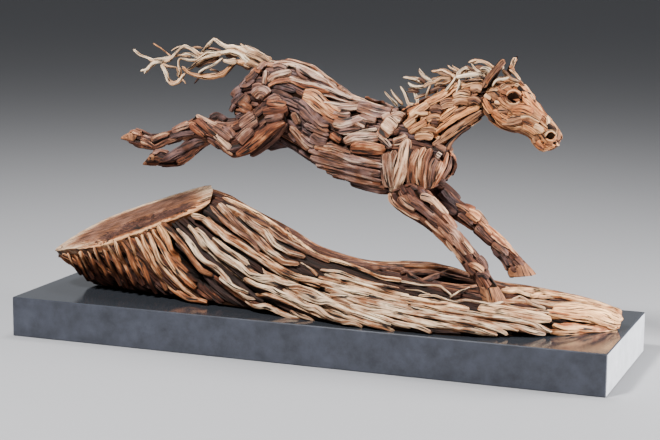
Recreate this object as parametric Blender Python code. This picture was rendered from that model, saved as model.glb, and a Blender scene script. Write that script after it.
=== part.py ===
"""A driftwood horse galloping down a weathered root, on a granite plinth.

Metres, +Z up. The horse faces +X and the origin is under the middle of the plinth.
The horse and the root are free forms, so their points are shares of their own sizes: horse units
are hundredths of the reach from tail tip to nose, counted from the hoof that stands on the root,
and root units are 130ths of the root's length, 40ths of its width and 23.5ths of its height.
"""

import math

import bmesh
import bpy
from mathutils import Vector, noise
from mathutils.bvhtree import BVHTree

# Plinth of dark granite
PLINTH_LENGTH = 1.356
PLINTH_WIDTH = 0.414
PLINTH_HEIGHT = 0.090
PLINTH_CHAMFER = 0.002

# Weathered root, lying along the plinth
ROOT_END_MARGIN = 0.028
ROOT_SIDE_MARGIN = 0.007
ROOT_HEIGHT = 0.235
ROOT_LENGTH = PLINTH_LENGTH - 2 * ROOT_END_MARGIN
ROOT_WIDTH = PLINTH_WIDTH - 2 * ROOT_SIDE_MARGIN
ROOT_UNIT = Vector((ROOT_LENGTH / 130, ROOT_WIDTH / 40, ROOT_HEIGHT / 23.5))

# Horse, with the holes of its head
HORSE_REACH = 1.00
UNIT = HORSE_REACH / 100
EYE_RADIUS = 0.012
NOSTRIL_RADIUS = 0.009
MOUTH_GAP = 0.003

# Pieces that touch are built this far apart
FIT_GAP = 0.0004

# Colour and roughness of each kind of surface
FINISHES = {
    "granite": ((0.045, 0.05, 0.06), 0.25),
    "root_wood": ((0.52, 0.33, 0.17), 0.75),
    "tan_driftwood": ((0.50, 0.30, 0.15), 0.75),
    "umber_driftwood": ((0.30, 0.19, 0.13), 0.80),
    "russet_driftwood": ((0.36, 0.20, 0.11), 0.75),
    "straw_twigs": ((0.66, 0.52, 0.34), 0.80),
    "hoof_wood": ((0.30, 0.17, 0.10), 0.70),
}

# Outlines in the side view: (upper point), (lower point), half width
BARREL = [
    ((-61.5, 42.0), (-62.0, 36.0), 3.2),
    ((-58.5, 46.0), (-59.5, 33.5), 5.0),
    ((-54.0, 48.5), (-55.5, 32.5), 5.8),
    ((-49.0, 49.0), (-51.0, 31.0), 6.2),
    ((-44.5, 48.0), (-47.0, 29.0), 6.2),
    ((-39.5, 45.0), (-43.0, 26.5), 6.2),
    ((-35.0, 42.0), (-38.0, 24.0), 6.4),
    ((-30.0, 40.5), (-32.5, 22.0), 6.4),
    ((-25.5, 39.5), (-27.0, 20.5), 6.2),
    ((-21.5, 39.0), (-20.5, 21.0), 5.8),
    ((-17.5, 37.0), (-15.5, 22.5), 5.2),
    ((-14.5, 34.0), (-12.0, 24.5), 4.2),
    ((-12.5, 31.5), (-11.0, 27.5), 2.4),
]
NECK = [
    ((-25.0, 39.0), (-17.0, 26.5), 4.4),
    ((-20.5, 41.0), (-13.0, 30.5), 4.2),
    ((-17.0, 42.5), (-11.5, 33.0), 3.7),
    ((-13.5, 44.0), (-9.5, 35.0), 3.3),
    ((-10.0, 45.5), (-7.0, 37.0), 3.0),
    ((-6.5, 46.5), (-5.0, 38.5), 2.8),
    ((-2.5, 47.0), (-2.5, 39.5), 2.5),
]
HEAD = [
    ((-1.8, 47.6), (-5.2, 43.0), 2.0),
    ((1.2, 47.6), (-5.0, 39.8), 3.0),
    ((3.6, 46.4), (-2.6, 37.6), 3.4),
    ((5.6, 44.2), (0.0, 36.2), 3.3),
    ((7.2, 42.0), (2.8, 35.8), 2.7),
    ((9.0, 39.8), (5.0, 35.2), 2.2),
    ((10.6, 37.8), (6.6, 33.4), 2.1),
    ((11.8, 36.2), (8.0, 32.0), 2.2),
    ((12.6, 34.8), (10.2, 32.4), 1.6),
]
RIGHT_FORELEG = [
    ((-17.5, 25.0), (-24.5, 22.0), 2.6),
    ((-14.5, 22.0), (-23.5, 18.8), 2.8),
    ((-12.0, 19.5), (-19.5, 17.0), 2.5),
    ((-10.0, 17.0), (-15.5, 14.8), 2.1),
    ((-9.0, 14.5), (-12.5, 12.5), 1.9),
    ((-7.0, 12.5), (-10.0, 10.5), 1.5),
    ((-4.5, 10.0), (-8.0, 8.5), 1.5),
    ((-2.0, 7.5), (-6.5, 6.5), 1.9),
    ((-1.0, 5.0), (-5.0, 4.6), 1.5),
    ((0.6, 3.2), (-3.6, 3.2), 1.8),
    ((1.9, 1.5), (-3.2, 1.2), 2.1),
    ((3.0, -0.4), (-2.4, -0.8), 2.3),
]
LEFT_FORELEG = [
    ((-15.5, 24.5), (-19.0, 22.0), 2.1),
    ((-12.0, 21.0), (-14.5, 17.5), 2.0),
    ((-10.0, 19.0), (-11.5, 15.5), 1.9),
    ((-6.5, 18.0), (-8.6, 14.2), 2.1),
    ((-4.0, 14.8), (-6.0, 12.4), 1.6),
    ((-0.2, 11.4), (-3.0, 10.0), 1.5),
    ((1.4, 9.8), (-2.4, 8.4), 1.8),
    ((3.0, 8.6), (-0.6, 7.2), 1.5),
    ((4.6, 7.4), (0.0, 5.8), 1.8),
    ((5.8, 6.2), (0.5, 4.9), 2.1),
    ((7.0, 4.9), (1.0, 4.0), 2.3),
]
RIGHT_HINDLEG = [
    ((-51.5, 43.0), (-45.0, 38.0), 3.0),
    ((-55.5, 38.5), (-47.5, 34.5), 3.2),
    ((-59.0, 36.0), (-52.0, 31.0), 3.0),
    ((-60.5, 35.5), (-56.5, 28.0), 2.8),
    ((-62.0, 35.2), (-60.0, 27.2), 2.6),
    ((-63.8, 35.2), (-63.0, 28.4), 2.3),
    ((-66.0, 35.6), (-65.4, 30.0), 2.1),
    ((-69.4, 36.8), (-67.6, 31.0), 2.0),
    ((-71.6, 35.0), (-70.2, 31.4), 1.8),
    ((-74.2, 33.2), (-73.4, 30.4), 1.5),
    ((-77.4, 32.0), (-76.4, 29.4), 1.5),
    ((-80.0, 31.6), (-79.4, 28.0), 1.8),
    ((-81.6, 31.6), (-82.4, 28.2), 1.5),
    ((-82.4, 32.4), (-85.0, 28.8), 1.8),
    ((-84.6, 32.6), (-86.4, 29.6), 1.9),
    ((-87.6, 31.0), (-88.0, 30.0), 1.2),
]
LEFT_HINDLEG = [
    ((-50.5, 42.0), (-45.5, 36.5), 2.8),
    ((-55.0, 38.5), (-48.0, 31.0), 3.0),
    ((-57.5, 37.0), (-52.0, 29.0), 3.0),
    ((-61.5, 35.5), (-56.5, 28.2), 2.8),
    ((-66.5, 35.0), (-63.0, 28.5), 2.4),
    ((-69.6, 36.2), (-67.4, 31.4), 2.0),
    ((-72.0, 33.2), (-70.4, 29.0), 1.8),
    ((-75.4, 30.2), (-73.2, 26.6), 1.5),
    ((-78.0, 27.8), (-75.6, 24.8), 1.5),
    ((-80.0, 26.6), (-77.4, 23.4), 1.8),
    ((-81.8, 26.6), (-80.6, 23.0), 1.5),
    ((-83.2, 27.0), (-83.8, 23.0), 1.8),
    ((-85.0, 25.8), (-85.6, 22.9), 1.8),
    ((-86.8, 23.8), (-86.9, 23.0), 1.2),
]

# Legs: side, outline, distance from the middle, and the stations where its segments meet
FORE_SEGMENTS = ("forearm", "fore_cannon", "fore_hoof")
HIND_SEGMENTS = ("thigh", "gaskin", "hind_cannon", "hind_hoof")
LEGS = [
    ("right", RIGHT_FORELEG, -4.0, FORE_SEGMENTS, (5, 9)),
    ("left", LEFT_FORELEG, 4.0, FORE_SEGMENTS, (3, 8)),
    ("right", RIGHT_HINDLEG, -4.5, HIND_SEGMENTS, (4, 7, 13)),
    ("left", LEFT_HINDLEG, 4.5, HIND_SEGMENTS, (3, 5, 11)),
]

# The right fore hoof's place on the root, in root units
HOOF_ON_ROOT = (40.0, -4.0)

# Driftwood laid on the horse: its path in the side view, width, thickness, the way it faces in
# degrees above the horizon, and what it lies on
SPINE_PIECES = {
    "spine_strip": ([(-55.0, 48.0), (-48.0, 48.4), (-41.0, 46.4), (-34.0, 42.6), (-23.0, 40.0)],
                    2.4, 0.7, 62, "barrel"),
}
PAIRED_PIECES = {
    "croup_strip": ([(-51.0, 47.0), (-44.5, 45.8), (-37.5, 43.0), (-28.5, 40.2)],
                    2.2, 0.7, 30, "barrel"),
    "loin_slab": ([(-44.5, 41.5), (-40.0, 39.8), (-36.0, 38.0), (-32.0, 37.2)],
                  4.0, 0.8, 0, "barrel"),
    "rib_plate": ([(-35.5, 31.2), (-30.5, 31.2), (-26.0, 30.8), (-23.6, 31.6)],
                  3.6, 0.9, 0, "barrel"),
    "belly_strip_upper": ([(-45.0, 33.4), (-42.0, 31.8), (-37.5, 30.2), (-31.5, 28.6), (-25.5, 27.4)],
                          2.0, 0.8, -8, "barrel"),
    "belly_strip_middle": ([(-44.5, 30.6), (-38.5, 28.6), (-32.5, 26.6), (-25.0, 25.0)],
                           2.2, 0.7, -20, "barrel"),
    "withers_plate": ([(-24.4, 38.6), (-22.6, 36.2), (-23.0, 33.4)], 5.0, 0.8, 5, "barrel"),
    "rump_knob": ([(-56.0, 39.8), (-53.8, 41.6), (-51.8, 43.0)], 3.6, 1.5, 5, "barrel"),
    "hip_plate": ([(-54.5, 38.2), (-50.0, 39.8), (-46.5, 40.6)], 3.6, 0.8, 0, "thigh"),
    "shoulder_blade": ([(-24.8, 31.6), (-24.6, 27.0), (-23.8, 22.6)], 2.8, 1.0, 0, "barrel"),
    "arm_strip": ([(-20.6, 32.4), (-21.0, 27.0), (-21.8, 23.0), (-22.6, 19.8)],
                  2.5, 1.3, 0, "barrel"),
    "shoulder_muscle": ([(-14.4, 33.2), (-15.2, 28.8), (-16.4, 25.6), (-17.4, 23.6)],
                        6.2, 1.8, 0, "barrel"),
}
RIGHT_PIECES = {
    "hip_arch": ([(-52.5, 42.0), (-50.5, 44.0), (-47.0, 44.3), (-41.0, 43.0), (-33.5, 41.2)],
                 1.6, 0.9, 10, "barrel"),
    "withers_knot": ([(-32.0, 39.0), (-29.0, 38.4), (-25.5, 37.4)], 2.8, 0.9, 10, "barrel"),
    "flank_twist": ([(-45.5, 39.0), (-42.5, 37.6), (-40.0, 35.8), (-37.5, 34.0)],
                    3.0, 0.9, 0, "barrel"),
    "belly_strip_lower": ([(-43.0, 28.2), (-37.0, 26.0), (-31.0, 24.2), (-24.5, 22.8)],
                          1.9, 0.7, -38, "barrel"),
    "buttock_piece": ([(-60.0, 36.8), (-58.6, 38.8), (-57.0, 41.0)], 3.6, 1.2, 5, "barrel"),
    "thigh_plate": ([(-59.4, 30.4), (-57.4, 33.0), (-55.0, 35.6)], 4.2, 0.8, 0, "thigh"),
    "gaskin_bar": ([(-60.5, 28.2), (-56.0, 30.4), (-51.5, 33.2), (-48.0, 35.6)],
                   2.3, 1.3, -10, "thigh"),
    "throat_strip": ([(-13.4, 33.8), (-9.5, 36.8), (-5.6, 39.6)], 2.0, 1.4, -10, "neck"),
}
TAN_PIECES = ("loin_slab", "rib_plate", "withers_plate", "hip_plate", "thigh_plate", "shoulder_muscle",
              "throat_strip", "arm_strip")
LAID_DEPTH = 1.4

# Twigs: the points that each follows, as (x, z, distance to the left), with its thickness.
# The tail is a root whose branches fly back, and the mane's twigs grow from a crest.
TAIL_TWIGS = [
    ([(-56.0, 47.0, 0.0), (-60.2, 49.8, 0.0), (-65.0, 51.0, 0.6), (-67.5, 52.6, 1.0),
      (-70.0, 50.6, 1.2), (-71.6, 49.4, 1.2)], 2.2),
    ([(-58.0, 47.6, 0.0), (-62.0, 49.6, -0.6), (-66.5, 49.6, -1.4), (-71.7, 48.5, -2.0),
      (-75.6, 48.4, -2.2), (-79.4, 47.6, -2.0), (-83.9, 48.1, -1.4), (-87.2, 49.8, -1.0)], 1.8),
    ([(-58.6, 47.0, 0.0), (-61.6, 47.4, -0.4), (-63.4, 45.9, -0.8), (-65.3, 44.6, -1.2),
      (-69.5, 43.9, -1.6), (-72.7, 44.7, -1.8), (-76.4, 47.4, -2.0)], 1.5),
    ([(-66.0, 50.4, 0.8), (-70.7, 50.6, 1.6), (-75.1, 50.9, 2.2), (-77.8, 49.9, 2.8)], 1.0),
    ([(-76.6, 48.4, -2.0), (-79.0, 49.4, -1.6), (-82.4, 51.4, -1.0)], 0.8),
    ([(-78.8, 47.8, -2.0), (-82.2, 46.6, -2.6), (-84.7, 44.4, -3.0)], 1.0),
    ([(-81.0, 47.4, -2.2), (-83.4, 46.2, -1.4), (-85.7, 45.2, -0.8)], 0.8),
    ([(-79.4, 47.8, -2.0), (-79.2, 44.4, -1.6), (-78.0, 42.4, -1.2), (-76.0, 42.6, -1.4),
      (-74.0, 44.4, -1.8)], 1.0),
]
MANE_CREST = ([(-25.0, 39.4, 0), (-20.0, 41.4, 0), (-15.0, 43.5, 0), (-10.0, 45.3, 0),
               (-5.0, 46.8, 0), (-1.5, 47.4, 0)], 2.0)
MANE_TWIGS = [
    ([(-22.6, 40.2, -0.4), (-24.9, 41.6, -1.4), (-26.4, 43.0, -1.8)], 1.0),
    ([(-19.6, 41.6, -0.5), (-21.9, 42.8, -1.8), (-23.1, 44.7, -2.0)], 1.1),
    ([(-17.0, 42.8, 0.3), (-19.5, 44.8, 1.2), (-22.0, 45.2, 2.0)], 1.1),
    ([(-15.4, 43.4, -0.2), (-18.4, 45.4, -1.2), (-21.6, 46.1, -1.6)], 1.2),
    ([(-14.6, 43.8, 0.2), (-16.6, 46.2, 0.5), (-18.8, 47.8, 0.4)], 1.1),
    ([(-12.6, 44.4, 0.8), (-15.6, 45.2, 2.2), (-17.8, 44.6, 3.0)], 1.1),
    ([(-10.4, 45.2, -0.4), (-13.1, 47.2, -0.9), (-16.0, 47.4, -1.6)], 1.2),
    ([(-9.2, 45.6, -0.6), (-10.6, 45.6, -2.6), (-12.0, 43.8, -3.4)], 1.0),
    ([(-8.0, 45.8, 0.6), (-11.0, 47.0, 2.0), (-13.8, 46.2, 2.9)], 1.1),
    ([(-7.4, 46.0, 0.0), (-9.6, 48.2, 0.3), (-11.8, 49.0, 0.8)], 1.1),
    ([(-4.0, 46.8, 0.6), (-6.8, 48.0, 2.4), (-9.8, 47.6, 3.0)], 1.0),
    ([(-3.0, 47.0, -0.4), (-5.6, 48.0, -1.6), (-9.4, 47.2, -2.4)], 1.2),
    ([(-2.6, 47.2, 0.2), (-4.9, 50.0, 0.4), (-7.4, 49.7, 0.2)], 1.2),
]
TWIG_TAPER = 0.55

# Ears: points up the middle of each, with half its width there
EARS = {
    "right": [((-4.6, 44.2), 1.1), ((-2.2, 47.4), 1.5), ((-0.6, 50.0), 1.2), ((0.4, 51.4), 0.5)],
    "left": [((-0.6, 46.8), 1.1), ((0.4, 49.2), 1.3), ((1.2, 50.8), 0.9), ((1.6, 51.8), 0.4)],
}
EAR_OFFSET = 2.2
EAR_LEAN = 0.25

# Where the eyes and nostrils are, with the head's half width there, and the mouth's two ends
EYE_PLACE = (2.6, 42.8, 3.6)
NOSTRIL_PLACE = (10.4, 35.4, 2.4)
MOUTH_LINE = ((6.6, 33.6), (11.8, 33.6))

# Flow lines of the root from its sawn face down to its foot: share of the way round, point on the
# face's rim, point on the foot, height of the lip over the foot, how hollow the flank falls, how
# far it swells again past the middle, and how far the strip behind the face stands proud
FLOW_LINES = [
    (0.00, (-63.6, -8.0), (-57.0, -3.5), 0.5, 0.9, 0.0, 0.0),
    (0.08, (-56.0, -11.5), (-45.0, -6.5), 0.5, 1.0, 0.0, 0.0),
    (0.16, (-47.0, -13.0), (-33.0, -9.3), 0.5, 1.1, 0.0, 0.0),
    (0.24, (-40.5, -12.2), (-22.0, -11.8), 0.6, 1.2, 0.0, 0.0),
    (0.31, (-35.0, -10.8), (-8.0, -14.0), 0.8, 1.35, 0.0, 0.0),
    (0.38, (-31.0, -9.8), (8.0, -17.8), 1.0, 1.5, 0.0, 0.0),
    (0.45, (-28.5, -9.0), (24.0, -19.0), 1.3, 1.65, 0.0, 0.0),
    (0.52, (-26.8, -7.8), (41.0, -17.0), 2.0, 1.75, 0.0, 0.0),
    (0.59, (-26.4, -5.0), (55.0, -9.0), 4.0, 1.9, 0.0, 0.0),
    (0.66, (-27.4, -1.0), (64.5, 0.5), 4.9, 2.5, 0.0, 0.0),
    (0.72, (-29.4, 3.6), (65.0, 6.0), 4.9, 3.2, 0.8, 1.6),
    (0.78, (-32.4, 8.6), (55.0, 12.0), 5.1, 3.1, 2.7, 1.6),
    (0.84, (-37.5, 11.0), (26.0, 15.5), 4.2, 2.8, 1.0, 0.8),
    (0.90, (-47.0, 12.0), (-12.0, 14.5), 3.0, 1.2, 0.0, 0.0),
    (0.95, (-58.0, 11.0), (-42.0, 11.0), 1.0, 1.0, 0.0, 0.0),
    (0.98, (-64.0, 3.0), (-56.0, 4.0), 0.5, 0.9, 0.0, 0.0),
]
STRIP_START = 0.06
STRIP_END = 0.25
STRIP_BREAK = 0.03
SWELL_AT = 0.62
SWELL_SPREAD = 0.12
LIP_FROM = 0.86
LIP_ROUNDING = 0.38
# The sawn face slopes: its height at one point of its rim, and its rise along and across the root
FACE_POINT = (-27.0, -8.0)
FACE_HEIGHT = 22.4
FACE_SLOPE = (0.37, 0.19)
FACE_MIDDLE = (-47.0, -0.5)
FACE_SHARE = 0.8
WORN_RIM = 1.0
# Furrows between the ridges, with the long splits given by the furrow that each opens
ROOT_COLUMNS = 50
ROOT_ROWS = 12
FURROW = 1.3
SPLITS = {9: 2.4, 13: 2.8, 17: 3.2, 21: 2.6, 27: 2.4, 33: 2.6}
UNDERCUT = 1.2
# The root's broad tip is smoother than its flanks
TIP_SHARE = 0.68
TIP_SPREAD = 0.09
TIP_CALM = 0.9
FOOT_EDGE = 0.3

# How square an oval section is, and how far weathering moves a point
SQUARENESS = 0.86
WEATHERING = 0.15
NOISE_SHIFTS = (Vector((9.3, 0, 0)), Vector((0, 7.1, 0)), Vector((0, 0, 5.7)))

# Points of a mesh this close are one point
WELD = 2e-5

# Shells of the pieces as first shaped, before they are cut back to fit
BLANKS = {}


def own_material(name, finish):
    colour, roughness = FINISHES[finish]
    made = bpy.data.materials.new(f"{name}_{finish}")
    made.use_nodes = True
    made.diffuse_color = (*colour, 1.0)
    shader = made.node_tree.nodes["Principled BSDF"]
    shader.inputs["Base Color"].default_value = (*colour, 1.0)
    shader.inputs["Roughness"].default_value = roughness
    shader.inputs["Metallic"].default_value = 0.0
    return made


def add_object(name, form, finish=None, sharp_degrees=35):
    """Turns a bmesh into a named object: one closed shell, shaded smooth across its soft edges."""
    bmesh.ops.recalc_face_normals(form, faces=form.faces)
    bmesh.ops.triangulate(form, faces=form.faces, quad_method="FIXED", ngon_method="BEAUTY")
    mesh = bpy.data.meshes.new(name)
    form.to_mesh(mesh)
    form.free()
    mesh.shade_smooth()
    mesh.set_sharp_from_angle(angle=math.radians(sharp_degrees))
    if finish:
        mesh.materials.append(own_material(name, finish))
    made = bpy.data.objects.new(name, mesh)
    bpy.context.collection.objects.link(made)
    return made


def skin(rings, columns, place):
    """A closed tube: a grid wrapped round by place(ring, column), with its two ends capped."""
    form = bmesh.new()
    bmesh.ops.create_grid(form, x_segments=columns, y_segments=rings - 1, size=1)
    for vert in form.verts:
        column = round((vert.co.x + 1) / 2 * columns) % columns
        ring = round((vert.co.y + 1) / 2 * (rings - 1))
        vert.co = place(ring, column)
    bmesh.ops.remove_doubles(form, verts=form.verts, dist=WELD)
    open_edges = [edge for edge in form.edges if edge.is_boundary]
    bmesh.ops.holes_fill(form, edges=open_edges, sides=columns)
    return form


def worn(point, amount, scale=0.35):
    """Weathering: a small push that depends only on the place."""
    push = Vector([noise.noise(point * scale + shift) for shift in NOISE_SHIFTS])
    return point + push * amount


def bent(share):
    """Sine or cosine of an oval that is a little squarer than an ellipse."""
    return math.copysign(abs(share) ** SQUARENESS, share)


def outline_form(stations, offset, foot, sides=10, groove=0.0, wear=0.0):
    """A form lofted through a side outline. Every third column can be cut in as a groove."""

    def place(ring, column):
        upper, lower, half = stations[ring]
        middle = Vector(((upper[0] + lower[0]) / 2, offset, (upper[1] + lower[1]) / 2))
        axis = Vector(((upper[0] - lower[0]) / 2, 0, (upper[1] - lower[1]) / 2))
        turn = 2 * math.pi * column / sides
        reach = axis * bent(math.cos(turn)) + Vector((0, half * bent(math.sin(turn)), 0))
        cut = groove if column % 3 == 0 else 0.0
        return foot + worn(middle + reach * (1 - cut), wear) * UNIT

    return skin(len(stations), sides, place)


def set_back(stations):
    """The same outline with its first station moved on by the fit gap."""
    first, second = stations[:2]
    start, then = (Vector(((s[0][0] + s[1][0]) / 2, (s[0][1] + s[1][1]) / 2)) for s in (first, second))
    step = (then - start).normalized() * (FIT_GAP / UNIT)
    upper, lower = (tuple(Vector(point) + step) for point in first[:2])
    return [(upper, lower, first[2]), *stations[1:]]


def grown(piece):
    """A copy of a piece's shell as first shaped, bigger by the fit gap, for use as a cutter."""
    form = bmesh.new()
    form.from_mesh(BLANKS.get(piece.name, piece.data))
    form.normal_update()
    for vert in form.verts:
        vert.co += vert.normal * FIT_GAP * min(vert.calc_shell_factor(), 3.0)
    mesh = bpy.data.meshes.new("cutter")
    form.to_mesh(mesh)
    form.free()
    cutter = bpy.data.objects.new("cutter", mesh)
    bpy.context.collection.objects.link(cutter)
    return cutter


def combine(piece, tool, operation):
    """Applies one exact Boolean to a piece, drops the tool and keeps the largest body."""
    boolean = piece.modifiers.new("fit", "BOOLEAN")
    boolean.object = tool
    boolean.operation = operation
    boolean.solver = "EXACT"
    graph = bpy.context.evaluated_depsgraph_get()
    result = bpy.data.meshes.new_from_object(piece.evaluated_get(graph))
    piece.modifiers.clear()
    old = piece.data
    piece.data = result
    bpy.data.meshes.remove(old)
    bpy.data.objects.remove(tool)
    keep_largest(piece)


def spread(body):
    """The diagonal of the box round a set of corners."""
    low = Vector([min(vert.co[axis] for vert in body) for axis in range(3)])
    high = Vector([max(vert.co[axis] for vert in body) for axis in range(3)])
    return (high - low).length


def keep_largest(piece):
    form = bmesh.new()
    form.from_mesh(piece.data)
    bmesh.ops.remove_doubles(form, verts=form.verts, dist=WELD)
    bmesh.ops.dissolve_degenerate(form, edges=form.edges, dist=WELD)
    left, bodies = set(form.verts), []
    while left:
        body, waiting = set(), [left.pop()]
        while waiting:
            vert = waiting.pop()
            body.add(vert)
            near = {edge.other_vert(vert) for edge in vert.link_edges} & left
            left -= near
            waiting.extend(near)
        bodies.append(body)
    bodies.sort(key=spread, reverse=True)
    for body in bodies[1:]:
        bmesh.ops.delete(form, geom=list(body), context="VERTS")
    form.to_mesh(piece.data)
    form.free()


def boxes_meet(one, other):
    def spans(piece):
        corners = [vert.co for vert in piece.data.vertices]
        return [(min(c[axis] for c in corners), max(c[axis] for c in corners)) for axis in range(3)]

    return all(a[0] < b[1] and b[0] < a[1] for a, b in zip(spans(one), spans(other)))


def fit_against(piece, others):
    """Cuts a piece back to the fit gap wherever it would run into the others."""
    BLANKS[piece.name] = piece.data.copy()
    for other in others:
        if boxes_meet(piece, other):
            combine(piece, grown(other), "DIFFERENCE")


def fuse(name, forms, finish):
    """One body from several overlapping forms."""
    made = add_object(name, forms[0], finish)
    for form in forms[1:]:
        combine(made, add_object("branch", form), "UNION")
    return made


def round_curve(keys, shares, share):
    """A smooth closed curve through keys, each at its share of the way round."""
    share %= 1.0
    index = max(i for i, start in enumerate(shares) if start <= share)
    after = shares[index + 1] if index + 1 < len(keys) else 1.0
    t = (share - shares[index]) / (after - shares[index])
    a, b, c, d = (Vector(keys[(index + step) % len(keys)]) for step in (-1, 0, 1, 2))
    bend = (2 * a - 5 * b + 4 * c - d) * t**2 + (3 * b - a - 3 * c + d) * t**3
    return 0.5 * (2 * b + (c - a) * t + bend)


def face_height(x, y):
    return FACE_HEIGHT + FACE_SLOPE[0] * (x - FACE_POINT[0]) + FACE_SLOPE[1] * (y - FACE_POINT[1])


def root_flank(along, share):
    """A point of the root's flank in root units: along 0 is the face's rim and 1 the lip."""
    shares = [line[0] for line in FLOW_LINES]
    rim = round_curve([line[1] for line in FLOW_LINES], shares, share)
    foot = round_curve([line[2] for line in FLOW_LINES], shares, share)
    lip, hollow, swell, strip = round_curve([line[3:] for line in FLOW_LINES], shares, share)
    top = face_height(rim.x, rim.y) - WORN_RIM
    flat = rim.lerp(foot, along)
    rounding = max(along - LIP_FROM, 0) / (1 - LIP_FROM)
    height = lip * (1 - LIP_ROUNDING * rounding**2) + (top - lip) * (1 - along) ** hollow
    height += swell * math.exp(-(((along - SWELL_AT) / SWELL_SPREAD) ** 2))
    height += strip * min(along / STRIP_START, 1) * (1 - math.tanh((along - STRIP_END) / STRIP_BREAK)) / 2
    return Vector((flat.x, flat.y, height))


def root_normal(along, share):
    """The way that the flank faces there, and how wide one column of it is."""
    step = 0.01
    run = root_flank(min(along + step, 1), share) - root_flank(max(along - step, 0), share)
    across = root_flank(along, share + step) - root_flank(along, share - step)
    return run.cross(across).normalized(), across.length / (2 * step * ROOT_COLUMNS)


def root_point(ring, column):
    """A point of the root in root units. The first ring is on the face, and the last on the foot."""
    share = column / ROOT_COLUMNS
    along = min(max((ring - 1) / (ROOT_ROWS - 1), 0.0), 1.0)
    point = root_flank(along, share)
    normal, width = root_normal(along, share)
    if ring == 0:
        inner = Vector(FACE_MIDDLE).lerp(point.xy, FACE_SHARE)
        return Vector((inner.x, inner.y, face_height(inner.x, inner.y)))
    if ring == ROOT_ROWS + 1:
        inward = Vector((normal.x, normal.y, 0)).normalized() * UNDERCUT
        return Vector((point.x, point.y, 0)) - inward
    calm = 1 - TIP_CALM * along * math.exp(-(((share - TIP_SHARE) / TIP_SPREAD) ** 2))
    depth = FURROW * calm * (0.8 + 0.6 * noise.noise(Vector((share * 40, along * 2, 0))))
    furrow = min(depth, width * 1.5) if column % 2 else 0
    split = SPLITS.get(column, 0) * calm * math.sin(math.pi * min(along + 0.08, 1)) ** 0.5
    cut = point - normal * max(furrow, split)
    cut.z = max(cut.z, FOOT_EDGE)
    return cut


def place_on_plinth(point):
    """From root units to metres."""
    across = Vector([value * unit for value, unit in zip(point, ROOT_UNIT)])
    return across + Vector((0, 0, PLINTH_HEIGHT + FIT_GAP))


def make_root():
    """Ridges and furrows run from the sawn face's rim down and along to the foot."""

    def place(ring, column):
        return place_on_plinth(root_point(ring, column))

    return add_object("driftwood_root", skin(ROOT_ROWS + 2, ROOT_COLUMNS, place), "root_wood")


def make_plinth():
    form = bmesh.new()
    bmesh.ops.create_cube(form, size=1)
    bmesh.ops.translate(form, verts=form.verts, vec=(0, 0, 0.5))
    bmesh.ops.scale(form, verts=form.verts, vec=(PLINTH_LENGTH, PLINTH_WIDTH, PLINTH_HEIGHT))
    bmesh.ops.bevel(form, geom=form.edges[:], offset=PLINTH_CHAMFER, segments=1, profile=0.5,
                    affect="EDGES", material=-1)
    return add_object("plinth", form, "granite")


def surfaces(pieces):
    trees = []
    for piece in pieces:
        form = bmesh.new()
        form.from_mesh(piece.data)
        trees.append(BVHTree.FromBMesh(form))
        form.free()
    return trees


def land(trees, point, way):
    """Where a piece pressed on against its way lands: on the outermost surface, or the nearest."""
    start = point + way * HORSE_REACH
    hits = [tree.ray_cast(start, -way)[0] for tree in trees]
    hits = [hit for hit in hits if hit is not None]
    if hits:
        return min(hits, key=lambda hit: (hit - start).length)
    nearest = [tree.find_nearest(point + way * LAID_DEPTH * UNIT)[0] for tree in trees]
    return min(nearest, key=lambda hit: (hit - point).length)


def laid_form(laid, side, trees, foot, sides=7):
    """A driftwood piece lying on the surfaces below it: domed in section, narrower at its ends."""
    path, width, thick, facing, _ = laid
    tilt = math.radians(facing)
    way = Vector((0, -side * math.cos(tilt), math.sin(tilt)))
    last = len(path) + 1
    landed = []
    for ring in range(last + 1):
        share = ring / last * (len(path) - 1)
        index = min(int(share), len(path) - 2)
        spot = Vector(path[index]).lerp(Vector(path[index + 1]), share - index)
        landed.append(land(trees, foot + Vector((spot.x, 0, spot.y)) * UNIT, way))
    padded = [landed[0], *landed, landed[-1]]
    centres = [(padded[i] + padded[i + 1] * 2 + padded[i + 2]) / 4 for i in range(last + 1)]

    def place(ring, column):
        run = (centres[min(ring + 1, last)] - centres[max(ring - 1, 0)]).normalized()
        across = way.cross(run).normalized()
        up = run.cross(across).normalized()
        end = abs(2 * ring / last - 1)
        half = width / 2 * (1 - 0.62 * end**3) * (1 + 0.16 * noise.noise(centres[ring] * 37))
        turn = 2 * math.pi * column / sides
        rise = math.sin(turn) * (thick if math.sin(turn) > 0 else LAID_DEPTH) * (1 - 0.5 * end**4)
        point = centres[ring] + (across * math.cos(turn) * half + up * rise) * UNIT
        return foot + worn((point - foot) / UNIT, WEATHERING, 0.6) * UNIT

    return skin(last + 1, sides, place)


def twig_form(points, thick, foot, sides=4):
    """A twig through points of the side view, each with its distance to the left, tapering."""
    centres = [Vector((x, left, z)) for x, z, left in points]
    last = len(centres) - 1

    def place(ring, column):
        run = (centres[min(ring + 1, last)] - centres[max(ring - 1, 0)]).normalized()
        across = run.cross(Vector((0, 1, 0))).normalized()
        up = across.cross(run)
        radius = thick / 2 * (1 - TWIG_TAPER * ring / last)
        turn = 2 * math.pi * column / sides
        return foot + (centres[ring] + (across * math.cos(turn) + up * math.sin(turn)) * radius) * UNIT

    return skin(len(centres), sides, place)


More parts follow.
